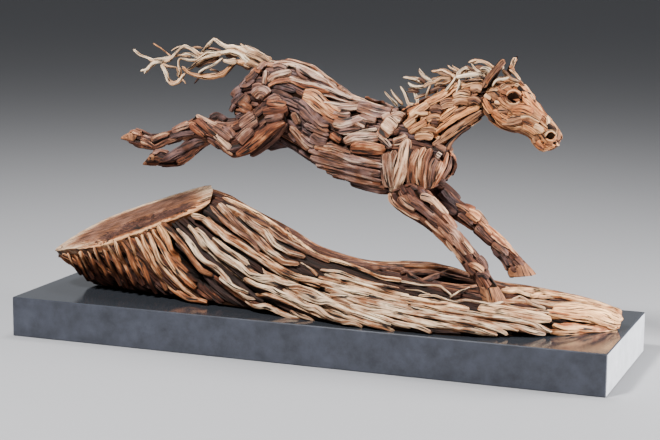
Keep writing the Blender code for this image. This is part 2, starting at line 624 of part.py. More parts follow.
def ear_form(stations, side, foot, sides=8):
    """A flattened rod that narrows to a tip and leans a little outwards."""
    last = len(stations) - 1

    def place(ring, column):
        (x, z), half = stations[ring]
        before, after = stations[max(ring - 1, 0)][0], stations[min(ring + 1, last)][0]
        run = Vector((after[0] - before[0], 0, after[1] - before[1])).normalized()
        across = run.cross(Vector((0, 1, 0)))
        turn = 2 * math.pi * column / sides
        centre = Vector((x, -side * (EAR_OFFSET + EAR_LEAN * ring), z))
        round_ear = across * math.cos(turn) * 0.6 + Vector((0, math.sin(turn) * 0.7, 0))
        return foot + (centre + round_ear * half) * UNIT

    return skin(len(stations), sides, place)


def make_head(foot):
    """The eyes and nostrils are holes in the wood, and the mouth is a slit."""
    head = add_object("head", outline_form(HEAD, 0, foot, sides=12, wear=0.1), "tan_driftwood")
    BLANKS[head.name] = head.data.copy()
    for side in (1, -1):
        for (x, z, out), radius in ((EYE_PLACE, EYE_RADIUS), (NOSTRIL_PLACE, NOSTRIL_RADIUS)):
            hole = bmesh.new()
            bmesh.ops.create_icosphere(hole, subdivisions=1, radius=radius)
            bmesh.ops.translate(hole, verts=hole.verts, vec=foot + Vector((x, -side * out, z)) * UNIT)
            combine(head, add_object("hole", hole), "DIFFERENCE")
    inner, outer = (foot + Vector((x, 0, z)) * UNIT for x, z in MOUTH_LINE)
    slit = bmesh.new()
    bmesh.ops.create_cube(slit, size=1)
    for vert in slit.verts:
        along = inner.lerp(outer, vert.co.x + 0.5)
        vert.co = along + Vector((0, vert.co.y * 8 * UNIT, vert.co.z * MOUTH_GAP))
    combine(head, add_object("slit", slit), "DIFFERENCE")
    return head


def make_body(foot):
    """Barrel and head stand whole, and the neck between them is cut to fit both."""
    barrel = outline_form(BARREL, 0, foot, sides=18, groove=0.04, wear=WEATHERING)
    neck = outline_form(NECK, 0, foot, sides=12, wear=WEATHERING)
    pieces = {
        "barrel": add_object("barrel", barrel, "umber_driftwood"),
        "head": make_head(foot),
        "neck": add_object("neck", neck, "tan_driftwood"),
    }
    fit_against(pieces["neck"], [pieces["barrel"], pieces["head"]])
    return pieces


def add_leg(pieces, leg, foot, root):
    """Segments that meet face to face, cut to fit what carries them. The last is the hoof."""
    side, stations, offset, segments, splits = leg
    bounds = [0, *splits, len(stations) - 1]
    carriers = [pieces["barrel"]]
    for index, segment in enumerate(segments):
        run = stations[bounds[index]: bounds[index + 1] + 1]
        run = set_back(run) if index else run
        finish = "hoof_wood" if segment.endswith("hoof") else "russet_driftwood"
        piece = add_object(f"{side}_{segment}", outline_form(run, offset, foot), finish)
        fit_against(piece, [root] if segment.endswith("hoof") else carriers)
        carriers = [pieces["barrel"], piece]
        pieces[piece.name] = piece


def add_laid_pieces(pieces, foot):
    """Driftwood on the back and both flanks, each piece cut to fit those laid before it."""
    jobs = [(name, laid, 1) for name, laid in SPINE_PIECES.items()]
    jobs += [(f"right_{name}", laid, 1) for name, laid in (PAIRED_PIECES | RIGHT_PIECES).items()]
    jobs += [(f"left_{name}", laid, -1) for name, laid in PAIRED_PIECES.items()]
    laid_names = []
    for name, laid, side in jobs:
        word = "right" if side == 1 else "left"
        carriers = {
            "barrel": ["barrel"],
            "thigh": ["barrel", f"{word}_thigh", f"{word}_gaskin"],
            "neck": ["neck", "barrel"],
        }[laid[-1]]
        form = laid_form(laid, side, surfaces([pieces[carrier] for carrier in carriers[:2]]), foot)
        finish = "tan_driftwood" if name.partition("_")[2] in TAN_PIECES else "umber_driftwood"
        piece = add_object(name, form, finish)
        around = [*carriers, f"{word}_forearm", f"{word}_thigh", "neck", "head", *laid_names]
        fit_against(piece, [pieces[other] for other in dict.fromkeys(around)])
        laid_names.append(name)
        pieces[name] = piece
    return laid_names


def add_tail_and_mane(pieces, laid_names, foot):
    laid = [pieces[name] for name in laid_names]
    tail = [twig_form(points, thick, foot) for points, thick in TAIL_TWIGS]
    pieces["tail"] = fuse("tail", tail, "straw_twigs")
    fit_against(pieces["tail"], [pieces["barrel"], *laid])
    mane = [twig_form(*MANE_CREST, foot, sides=6)]
    mane += [twig_form(points, thick, foot, sides=3) for points, thick in MANE_TWIGS]
    pieces["mane"] = fuse("mane", mane, "straw_twigs")
    fit_against(pieces["mane"], [pieces["neck"], pieces["head"], pieces["barrel"], *laid])


def add_ears(pieces, foot):
    for word, side in (("right", 1), ("left", -1)):
        ear = add_object(f"{word}_ear", ear_form(EARS[word], side, foot), "russet_driftwood")
        fit_against(ear, [pieces["head"], pieces["neck"], pieces["mane"]])


def main():
    for old in list(bpy.data.objects):
        bpy.data.objects.remove(old)
    make_plinth()
    root = make_root()
    above = place_on_plinth((*HOOF_ON_ROOT, 2 * ROOT_HEIGHT / ROOT_UNIT.z))
    ground = surfaces([root])[0].ray_cast(above, Vector((0, 0, -1)))[0]
    standing_leg_offset = LEGS[0][2] * UNIT
    foot = Vector((above.x, above.y - standing_leg_offset, ground.z))
    pieces = make_body(foot)
    for leg in LEGS:
        add_leg(pieces, leg, foot, root)
    laid_names = add_laid_pieces(pieces, foot)
    add_tail_and_mane(pieces, laid_names, foot)
    add_ears(pieces, foot)
    for blank in BLANKS.values():
        bpy.data.meshes.remove(blank)


main()
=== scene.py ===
"""Dresses a driftwood horse sculpture: weathered root, built-up horse and granite plinth.

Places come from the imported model, or are horse units (hundredths of a metre from the hoof that
stands on the root), root units, or pixels of the 660 by 440 photograph seen from its camera.
"""

import math
import random

import bmesh
import bpy
from mathutils import Matrix, Vector, noise
from mathutils.bvhtree import BVHTree


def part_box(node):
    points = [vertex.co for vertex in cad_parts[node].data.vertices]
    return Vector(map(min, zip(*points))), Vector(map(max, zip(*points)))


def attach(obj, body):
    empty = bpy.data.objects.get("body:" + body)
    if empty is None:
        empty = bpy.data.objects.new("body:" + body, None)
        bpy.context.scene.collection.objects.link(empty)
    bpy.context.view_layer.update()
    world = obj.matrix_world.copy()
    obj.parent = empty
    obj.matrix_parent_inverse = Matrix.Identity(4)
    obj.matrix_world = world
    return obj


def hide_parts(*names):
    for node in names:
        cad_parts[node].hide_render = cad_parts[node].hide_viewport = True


bl_info = {
    "name": "Driftwood horse",
    "version": (1, 0, 0),
    "blender": (4, 5, 0),
    "location": "View3D > Sidebar > Driftwood",
    "description": "Builds the driftwood, root and stone of a galloping horse sculpture",
    "category": "Add Mesh",
}

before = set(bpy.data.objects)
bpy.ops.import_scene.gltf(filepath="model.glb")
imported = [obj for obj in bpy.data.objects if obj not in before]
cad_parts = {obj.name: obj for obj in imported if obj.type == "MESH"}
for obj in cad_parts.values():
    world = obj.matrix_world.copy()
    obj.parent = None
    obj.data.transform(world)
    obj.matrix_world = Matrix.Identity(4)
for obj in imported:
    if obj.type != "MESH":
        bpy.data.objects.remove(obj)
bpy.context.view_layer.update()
BODY = "root"

# Camera of the photograph
IMAGE_SIZE = (660, 440)
CAMERA_PLACE = Vector((1.328, -3.576, 0.942))
CAMERA_AZIMUTH = math.radians(20.2507)
CAMERA_ELEVATION = math.radians(9.8268)
CAMERA_ROLL = math.radians(0.6435)
FOCAL_PIXELS = 1746.13
SENSOR_WIDTH = 36.0

# Plinth and root: the root's own units along, across and up
PLINTH_LOW, PLINTH_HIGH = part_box("plinth")
ROOT_END_MARGIN = 0.028
ROOT_SIDE_MARGIN = 0.007
ROOT_UNIT = Vector((
    (PLINTH_HIGH[0] - PLINTH_LOW[0] - 2 * ROOT_END_MARGIN) / 130,
    (PLINTH_HIGH[1] - PLINTH_LOW[1] - 2 * ROOT_SIDE_MARGIN) / 40,
    0.01,
))
FLOW_LINES = [
    (0.00, (-63.6, -8.0), (-57.0, -3.5), 0.5, 0.9, 0.0, 0.0),
    (0.08, (-56.0, -11.5), (-45.0, -6.5), 0.5, 1.0, 0.0, 0.0),
    (0.16, (-47.0, -13.0), (-33.0, -9.3), 0.5, 1.1, 0.0, 0.0),
    (0.24, (-40.5, -12.2), (-22.0, -11.8), 0.6, 1.2, 0.0, 0.0),
    (0.31, (-35.0, -10.8), (-8.0, -14.0), 0.8, 1.35, 0.0, 0.0),
    (0.38, (-31.0, -9.8), (8.0, -17.8), 1.0, 1.5, 0.0, 0.0),
    (0.45, (-28.5, -9.0), (24.0, -19.0), 1.3, 1.65, 0.0, 0.0),
    (0.52, (-26.8, -7.8), (41.0, -17.0), 2.0, 1.75, 0.0, 0.0),
    (0.59, (-26.4, -5.0), (55.0, -9.0), 4.0, 1.9, 0.0, 0.0),
    (0.66, (-27.4, -1.0), (64.5, 0.5), 4.9, 2.5, 0.0, 0.0),
    (0.72, (-29.4, 3.6), (65.0, 6.0), 4.9, 3.2, 0.8, 1.6),
    (0.78, (-32.4, 8.6), (55.0, 12.0), 5.1, 3.1, 2.7, 1.6),
    (0.84, (-37.5, 11.0), (26.0, 15.5), 4.2, 2.8, 1.0, 0.8),
    (0.90, (-47.0, 12.0), (-12.0, 14.5), 3.0, 1.2, 0.0, 0.0),
    (0.95, (-58.0, 11.0), (-42.0, 11.0), 1.0, 1.0, 0.0, 0.0),
    (0.98, (-64.0, 3.0), (-56.0, 4.0), 0.5, 0.9, 0.0, 0.0),
]
FACE_POINT = (-27.0, -8.0)
FACE_HEIGHT = 22.4
FACE_SLOPE = (0.37, 0.19)
FACE_MIDDLE = (-47.0, -0.5)

# Flank: where its foot rounds off and by how much, and where its swell and its strip lie
FOOT_ROUNDING = (0.86, 0.38)
SWELL_PLACE = (0.62, 0.12)
STRIP_START = 0.06
STRIP_END = (0.25, 0.03)

# Face: where its torn step and its outer band begin on the way out, over what share, and their drops
FACE_STEP = (0.20, 0.06, 0.8)
FACE_WALL = (0.78, 0.05, 0.6)
FACE_FRONT = ((0.66, 0.06), (0.05, 0.08))

# Root: columns and rings of its core and face, and the face's worn edge: drop and share of the rim
CORE_GRID = (150, 50)
FACE_GRID = (260, 34)
FACE_EDGE = ((0.3, 0.99), (1.6, 0.95), (2.6, 0.80), (2.8, 0.0))
CORE_CLEARANCE = 0.0006
CORE_UNDER_FACE = 5
CORE_LIP_DROP = 0.022
CORE_VOID = 0.03
RIDGE_VOID = 0.034
RIDGE_LEVELS = 7
COARSEST_LEVEL = 4
RIDGE_WIDEST = 0.024
RIDGE_SINK = 0.016
RIDGE_RING = 0.008

# Shares of the way round that the root's front takes, and where its traced strands end. For each
# zone, how far its ridges lie under the solid's skin and how much painted light their tops keep, the rest
# being painted shade
FRONT = (0.26, 0.62)
TRACED_END = 0.76
RIDGE_ZONES = {"front": (0.011, 0.34), "end": (0.007, 0.7), "back": (0.002, 1.0)}

# Horse units, and the point on the root under the horse
UNIT = 0.01
HOOF_SPOT = (0.40, -0.04)

# Sticks: ring spacings of laid pieces and chips, points of a thatched axis and angle of sharp edges
STICK_RING = 0.004
CHIP_RING = 0.006
AXIS_POINTS = 24
CHIP_DRIFT = 0.35
CHIP_MARGIN = 0.007
STICK_SHARP = 32
SEAM_TURN = 0.07

# A stick's unevenness: waves per metre along it and waves round it
LOBES = (5, 1.2)
FURROWS = (13, 3.1)
KNOBS = (40, 0.8)

# Random ranges of sticks: thinness of their tips, squareness between, and a chip's share of its row
PIECE_TIPS = (0.15, 0.7)
CHIP_TIPS = (0.1, 0.7)
SQUARENESS = (3, 7)
CHIP_SPANS = (0.6, 1.5)
CHIP_SIZES = (0.8, 1.15)
CHIP_SHIFT = 0.35
CHIP_LIFT_SHIFT = 0.0015

# Thinnest and thickest a laid piece gets, and the width from which it takes more columns
THINNEST = 0.0026
THICKEST = 0.022
WIDE = 0.015

# How far the hidden side's pieces and twigs stray from their mirror places, in metres and shares
PIECE_SLIP = (0.006, 0.004)
TONE_STRAY = 0.2
HUE_STRAY = 0.25
TWIG_SLIP = 0.012
TWIG_SLIP_UP = (-0.006, 0.004)
TWIG_MIRROR = 0.004
TWIG_STRAY = 0.15
TWIG_WAVES = 60

# Voids between the root's strands: share of the way round at their two ends, from, to, half width
VOIDS = [
    (0.292, 0.260, 0.00, 0.72, 0.013),
    (0.265, 0.233, 0.05, 0.62, 0.006),
    (0.170, 0.128, 0.00, 0.65, 0.004),
    (0.460, 0.430, 0.00, 0.52, 0.012),
    (0.500, 0.480, 0.00, 0.57, 0.010),
    (0.350, 0.330, 0.25, 0.90, 0.006),
    (0.720, 0.730, 0.44, 0.68, 0.024),
    (0.690, 0.680, 0.74, 0.88, 0.006),
]

# Pieces that can be told apart on the photograph: pixels along each, width in pixels, tone from dark
# to pale, and hue from grey to ochre
PIXEL = 0.0022
BARREL_PIECES = [
    (((250, 55), (262, 56), (272, 58)), 5, 0.75, 0.4),
    (((272, 59), (290, 57), (306, 60), (318, 66), (330, 76), (340, 86)), 8, 0.9, 0.6),
    (((296, 66), (304, 72), (312, 76), (324, 82), (336, 89)), 6, 0.8, 0.4),
    (((313, 70), (324, 80), (336, 91), (348, 98), (360, 101)), 6, 0.7, 0.45),
    (((336, 84), (350, 92), (364, 98), (380, 103), (392, 106)), 6, 0.85, 0.6),
    (((360, 102), (372, 106), (384, 108)), 4, 0.7, 0.4),
    (((288, 78), (300, 81), (312, 84), (326, 89), (340, 95), (352, 101)), 6, 0.9, 0.35),
    (((268, 87), (276, 82), (290, 80), (302, 86), (316, 88), (330, 93)), 5, 0.6, 0.95),
    (((322, 94), (336, 99), (350, 103), (362, 102)), 3, 0.7, 0.5),
    (((296, 70), (300, 76), (308, 80)), 3, 0.3, 0.3),
    (((250, 62), (258, 60), (268, 64)), 9, 0.6, 0.3),
    (((262, 60), (272, 62), (284, 61)), 5, 0.7, 0.8),
    (((272, 68), (280, 66), (288, 70)), 8, 0.8, 0.4),
    (((268, 82), (274, 76), (284, 74), (292, 72)), 7, 0.75, 0.5),
    (((264, 86), (266, 78), (266, 70)), 6, 0.6, 0.1),
    (((246, 82), (252, 78), (258, 72)), 9, 0.35, 0.2),
    (((248, 72), (256, 70), (262, 72)), 7, 0.5, 0.8),
    (((238, 84), (246, 80), (252, 74)), 5, 0.5, 0.4),
    (((240, 86), (248, 86), (256, 80)), 6, 0.3, 0.2),
    (((254, 98), (258, 92), (264, 92), (268, 97)), 14, 0.6, 0.35),
    (((252, 88), (258, 85), (264, 88)), 6, 0.6, 0.5),
    (((233, 98), (236, 92), (242, 88)), 8, 0.35, 0.1),
    (((232, 104), (236, 100), (244, 94)), 7, 0.3, 0.15),
    (((239, 106), (244, 101), (250, 96)), 9, 0.55, 0.3),
    (((240, 104), (247, 108), (254, 110)), 10, 0.6, 0.75),
    (((231, 112), (233, 107), (236, 103)), 5, 0.3, 0.1),
    (((236, 118), (242, 115), (252, 114)), 6, 0.25, 0.1),
    (((302, 95), (312, 98), (322, 106), (332, 114), (340, 117)), 16, 0.85, 1.0),
    (((322, 104), (336, 106), (350, 108), (360, 106)), 9, 0.9, 0.5),
    (((332, 112), (342, 116), (352, 115)), 9, 0.7, 0.35),
    (((356, 106), (366, 108), (378, 112), (392, 114)), 13, 0.6, 0.05),
    (((358, 116), (368, 120), (378, 121)), 7, 0.6, 0.5),
    (((298, 101), (306, 107), (314, 116), (322, 124), (330, 126)), 11, 0.4, 0.1),
    (((300, 110), (306, 116), (314, 122)), 7, 0.4, 0.2),
    (((314, 121), (322, 128), (330, 132)), 6, 0.45, 0.2),
    (((292, 112), (296, 118), (300, 124)), 8, 0.65, 0.6),
    (((304, 124), (312, 128), (320, 132), (330, 135)), 6, 0.5, 0.2),
    (((332, 124), (342, 126), (354, 122), (364, 118)), 9, 0.75, 0.4),
    (((350, 120), (358, 124), (366, 128)), 8, 0.7, 0.5),
    (((338, 132), (350, 130), (362, 128)), 6, 0.6, 0.45),
    (((342, 134), (352, 134), (364, 131), (378, 129)), 3.5, 1.0, 0.5),
    (((330, 134), (336, 138), (342, 142)), 8, 0.5, 1.0),
    (((344, 143), (354, 138), (366, 138), (380, 138)), 9, 0.75, 0.5),
    (((350, 148), (362, 147), (376, 148), (386, 150)), 11, 0.7, 1.0),
    (((376, 133), (386, 142), (392, 148)), 6, 0.9, 0.4),
    (((310, 136), (318, 141), (328, 144)), 8, 0.35, 0.05),
    (((300, 134), (308, 142), (316, 146)), 8, 0.6, 0.3),
    (((316, 144), (330, 146), (342, 150), (352, 154)), 6, 0.65, 0.6),
    (((290, 126), (296, 132), (304, 142), (310, 150)), 9, 0.65, 0.6),
    (((288, 132), (296, 142)), 4, 0.3, 0.4),
    (((314, 147), (324, 148), (334, 150)), 6, 0.85, 0.9),
    (((318, 149), (334, 153), (350, 159), (366, 163), (384, 166)), 8, 0.65, 0.25),
    (((308, 150), (322, 153), (338, 158), (352, 162)), 6, 0.5, 0.3),
    (((340, 156), (360, 160), (382, 161)), 4, 0.5, 0.3),
    (((310, 157), (326, 160), (344, 165), (362, 169), (382, 173)), 9, 0.5, 0.3),
    (((316, 164), (332, 168), (350, 172), (366, 176), (384, 181)), 7, 0.5, 0.4),
    (((336, 166), (352, 169), (368, 172), (382, 174)), 5, 0.45, 0.3),
    (((326, 170), (340, 175), (356, 180), (372, 184), (386, 188)), 7, 0.5, 0.5),
    (((332, 175), (344, 178)), 5, 0.5, 0.8),
    (((372, 181), (382, 184)), 5, 0.55, 0.95),
    (((350, 183), (364, 187), (380, 190), (388, 190)), 6, 0.35, 0.3),
    (((382, 122), (388, 126), (395, 132)), 21, 0.9, 0.7),
    (((390, 118), (398, 116), (404, 120)), 11, 0.85, 0.65),
    (((393, 134), (400, 130)), 5, 0.35, 0.8),
    (((392, 142), (400, 140), (408, 136)), 7, 0.75, 0.7),
    (((382, 120), (392, 116)), 8, 0.8, 0.4),
    (((384, 106), (392, 110), (398, 112)), 7, 0.6, 0.3),
    (((388, 152), (388, 166), (390, 178), (392, 188)), 14, 0.7, 0.55),
    (((396, 150), (392, 160), (390, 170)), 8, 0.85, 0.5),
    (((408, 138), (405, 152), (402, 168), (397, 182), (392, 192)), 11, 0.85, 0.75),
    (((412, 148), (408, 162), (408, 176), (410, 190)), 6, 0.35, 0.6),
    (((419, 148), (413, 162), (412, 178), (415, 193)), 7, 0.55, 0.8),
    (((425, 147), (419, 160), (418, 176), (419, 192)), 7, 0.75, 0.9),
    (((431, 148), (426, 160), (424, 176), (424, 189)), 7, 0.65, 0.8),
    (((436, 158), (432, 166), (430, 178), (429, 187)), 7, 0.55, 0.45),
    (((441, 160), (438, 170), (435, 180)), 6, 0.65, 0.8),
    (((447, 152), (445, 164), (439, 176), (431, 188)), 6, 0.7, 0.85),
    (((450, 156), (448, 168), (441, 179)), 6, 0.35, 0.6),
    (((436, 154), (440, 157)), 8, 0.95, 0.3),
]
NECK_PIECES = [
    (((404, 127), (410, 122), (416, 118)), 7, 0.8, 0.6),
    (((408, 133), (418, 127), (428, 122)), 7, 0.75, 0.8),
    (((414, 138), (424, 135), (434, 137)), 7, 0.7, 0.5),
    (((420, 131), (430, 129), (438, 131)), 6, 0.75, 0.55),
    (((410, 118), (420, 110), (430, 103)), 8, 0.9, 0.7),
    (((424, 106), (438, 98), (452, 90), (464, 84)), 7, 0.85, 0.85),
    (((444, 92), (456, 86), (470, 80), (484, 78)), 6, 0.95, 0.7),
    (((429, 110), (437, 108), (444, 111)), 9, 0.3, 0.1),
    (((426, 120), (434, 116), (442, 118)), 7, 0.7, 0.6),
    (((431, 122), (438, 122)), 8, 0.3, 0.2),
    (((440, 121), (450, 113), (458, 107)), 6, 0.8, 0.9),
    (((434, 133), (446, 124), (458, 116), (470, 110), (480, 107)), 5, 0.85, 1.0),
    (((440, 107), (448, 103), (456, 104)), 8, 0.5, 0.2),
    (((452, 104), (460, 100), (470, 102)), 7, 0.6, 0.3),
    (((452, 97), (462, 93), (472, 95)), 8, 0.7, 0.6),
    (((466, 101), (475, 98), (482, 103)), 7, 0.5, 0.15),
    (((470, 91), (477, 88), (483, 91)), 6, 0.65, 0.35),
    (((412, 112), (421, 114), (430, 114)), 5, 0.75, 0.5),
    (((452, 113), (460, 110), (468, 107)), 5, 0.6, 0.4),
    (((432, 146), (444, 138), (456, 128), (468, 120), (482, 110)), 7, 0.5, 0.15),
    (((440, 138), (452, 130), (464, 122), (478, 113)), 5, 0.65, 0.4),
    (((447, 150), (453, 142), (461, 132), (471, 126)), 4, 0.3, 0.1),
    (((434, 144), (440, 148), (446, 150)), 7, 0.3, 0.1),
]
HEAD_PIECES = [
    (((522, 89), (531, 103), (544, 116)), 5, 0.65, 0.9),
    (((523, 84), (531, 92), (536, 100)), 5, 0.8, 0.6),
    (((535, 101), (546, 114), (552, 122)), 4, 0.75, 0.8),
    (((546, 115), (549, 120), (548, 127)), 5, 1.0, 0.4),
    (((508, 77), (518, 82)), 3, 0.5, 0.5),
    (((500, 89), (508, 84), (519, 84)), 6, 0.9, 0.45),
    (((498, 97), (504, 105), (512, 108), (521, 106)), 4, 0.6, 0.75),
    (((483, 98), (487, 106), (493, 113)), 6, 0.8, 0.95),
    (((492, 112), (500, 123), (512, 129), (523, 128)), 5, 0.6, 0.7),
    (((493, 110), (501, 117), (510, 121)), 9, 0.7, 1.0),
    (((500, 121), (512, 121), (523, 118)), 8, 0.6, 0.2),
    (((497, 111), (509, 111)), 4, 0.6, 0.05),
    (((511, 110), (523, 109), (534, 114)), 8, 0.65, 0.95),
    (((519, 116), (530, 115), (541, 122)), 8, 0.8, 0.6),
    (((523, 124), (532, 128), (538, 134)), 8, 0.7, 0.9),
    (((533, 126), (540, 129), (543, 134)), 7, 0.85, 0.5),
    (((551, 120), (556, 125), (558, 130)), 6, 0.6, 0.3),
    (((558, 129), (559, 135), (556, 141)), 5, 0.7, 0.6),
    (((536, 141), (541, 146), (544, 148)), 6, 0.6, 1.0),
    (((533, 137), (536, 143)), 5, 0.5, 0.5),
    (((546, 144), (553, 144)), 4, 0.6, 0.8),
    (((485, 92), (492, 89), (499, 90)), 6, 0.75, 0.6),
    (((484, 95), (492, 99)), 6, 0.8, 0.5),
    (((494, 102), (501, 104)), 4, 0.95, 0.5),
    (((526, 103), (534, 110), (542, 118)), 5, 0.7, 0.7),
    (((514, 84), (522, 88)), 4, 0.8, 0.6),
]
RIGHT_EAR_PIECES = [
    (((483, 88), (489, 77), (497, 67), (505, 58)), 6, 0.35, 0.5),
    (((486, 85), (493, 74), (500, 64)), 4, 0.5, 0.9),
]
LEFT_EAR_PIECES = [
    (((516, 57), (513, 63), (511, 70)), 4, 0.9, 0.4),
    (((508, 65), (512, 68), (515, 73)), 4, 0.75, 0.8),
]
LEG_PIECES = {
    "right_thigh": [
        (((240, 128), (248, 122), (257, 116)), 16, 0.5, 0.5),
        (((238, 142), (246, 134), (254, 128)), 13, 0.5, 0.45),
        (((268, 102), (276, 98), (286, 92)), 10, 0.5, 0.35),
        (((274, 92), (284, 90), (294, 94)), 7, 0.5, 0.2),
        (((266, 104), (276, 104), (290, 102)), 9, 0.6, 0.85),
        (((262, 112), (272, 110), (284, 109), (290, 104)), 9, 0.5, 0.85),
        (((264, 119), (274, 117), (284, 114)), 9, 0.45, 0.4),
        (((236, 155), (248, 148), (260, 138), (272, 128), (286, 122)), 11, 0.5, 0.95),
        (((250, 156), (262, 148), (272, 140), (282, 132), (290, 124)), 8, 0.35, 0.5),
    ],
    "left_thigh": [
        (((268, 146), (278, 141), (288, 134)), 8, 0.1, 0.3),
        (((268, 149), (280, 149), (292, 144)), 6, 0.1, 0.2),
        (((210, 118), (217, 115), (227, 121)), 8, 0.1, 0.3),
    ],
    "right_gaskin": [
        (((193, 112), (203, 119), (218, 125)), 4, 1.0, 0.4),
        (((196, 119), (206, 128), (218, 136)), 8, 0.6, 0.9),
        (((204, 124), (214, 132), (224, 142), (231, 150)), 6, 0.9, 0.3),
        (((212, 127), (222, 133), (232, 140)), 8, 0.6, 0.5),
        (((214, 141), (224, 149), (234, 156)), 6, 0.5, 0.7),
        (((222, 126), (230, 131), (235, 138)), 7, 0.55, 0.3),
    ],
    "right_hind_cannon": [
        (((190, 125), (197, 131), (206, 137)), 8, 0.65, 0.95),
        (((170, 131), (180, 128), (190, 124)), 6, 0.55, 0.5),
        (((170, 138), (182, 134), (196, 132)), 6, 0.25, 0.1),
        (((150, 141), (160, 137), (170, 134)), 8, 0.65, 0.7),
        (((146, 146), (156, 147), (166, 142), (178, 138)), 5, 0.5, 0.6),
        (((140, 140), (148, 142), (155, 147)), 6, 0.7, 0.7),
    ],
    "left_hind_cannon": [
        (((162, 160), (172, 156), (186, 148), (198, 142), (206, 140)), 8, 0.15, 0.3),
        (((176, 162), (188, 156), (200, 146)), 6, 0.3, 0.8),
        (((170, 150), (180, 148), (192, 142)), 5, 0.35, 0.4),
        (((152, 154), (160, 151), (168, 150)), 6, 0.6, 0.5),
    ],
    "right_forearm": [
        (((390, 192), (391, 200), (398, 207), (411, 215), (421, 219)), 6, 0.85, 0.7),
        (((398, 197), (406, 205), (416, 210)), 8, 0.75, 0.6),
        (((410, 201), (420, 207), (430, 215), (440, 223)), 8, 0.55, 0.2),
        (((420, 195), (430, 199), (438, 207), (448, 217)), 7, 0.9, 0.5),
        (((432, 196), (440, 205), (449, 215)), 4, 1.0, 0.5),
        (((424, 220), (434, 229), (446, 240)), 5, 0.8, 0.7),
        (((430, 214), (441, 225), (450, 235)), 7, 0.6, 0.5),
        (((442, 214), (450, 222), (456, 230)), 7, 0.7, 0.7),
        (((438, 226), (447, 235), (455, 246)), 7, 0.6, 0.6),
        (((446, 224), (455, 233), (463, 244)), 7, 0.65, 0.4),
        (((434, 230), (444, 241), (453, 252)), 5, 0.8, 0.7),
    ],
    "right_fore_cannon": [
        (((446, 240), (455, 251), (464, 263)), 5, 0.85, 0.7),
        (((450, 235), (458, 244), (467, 256)), 6, 0.65, 0.5),
        (((455, 231), (464, 242), (473, 254)), 7, 0.7, 0.6),
        (((460, 232), (470, 245), (480, 259)), 6, 0.6, 0.2),
        (((466, 262), (468, 270), (475, 276)), 5, 0.5, 0.6),
        (((468, 264), (476, 266), (484, 272)), 5, 0.8, 0.8),
        (((477, 256), (484, 263), (486, 271)), 7, 0.5, 0.15),
        (((476, 274), (484, 274), (489, 279)), 6, 0.3, 0.3),
    ],
    "left_forearm": [
        (((440, 182), (450, 191), (461, 200)), 8, 0.2, 0.5),
        (((440, 190), (449, 200), (459, 208)), 9, 0.05, 0.3),
        (((440, 200), (450, 208), (458, 214)), 8, 0.1, 0.3),
        (((458, 213), (466, 219), (473, 225)), 6, 0.3, 0.1),
        (((454, 204), (463, 208), (471, 214)), 8, 0.5, 0.8),
        (((455, 199), (463, 203), (472, 207)), 6, 0.45, 0.7),
    ],
    "left_fore_cannon": [
        (((464, 206), (470, 204), (476, 208)), 6, 0.65, 0.95),
        (((466, 211), (472, 214), (480, 220)), 8, 0.9, 0.95),
        (((474, 210), (481, 218), (488, 226)), 7, 0.85, 0.7),
        (((478, 222), (486, 230), (492, 236)), 6, 0.7, 0.9),
        (((484, 224), (492, 231), (502, 240), (512, 249)), 6, 0.9, 1.0),
        (((476, 226), (486, 236), (494, 243)), 7, 0.5, 0.5),
        (((490, 234), (500, 242), (510, 250)), 5, 0.75, 0.8),
        (((492, 242), (500, 248), (508, 256)), 7, 0.5, 0.2),
        (((504, 244), (512, 252), (518, 258)), 7, 0.7, 0.8),
        (((494, 248), (495, 253), (500, 257)), 5, 0.2, 0.3),
        (((500, 254), (506, 260), (509, 266)), 6, 0.35, 0.4),
    ],
}

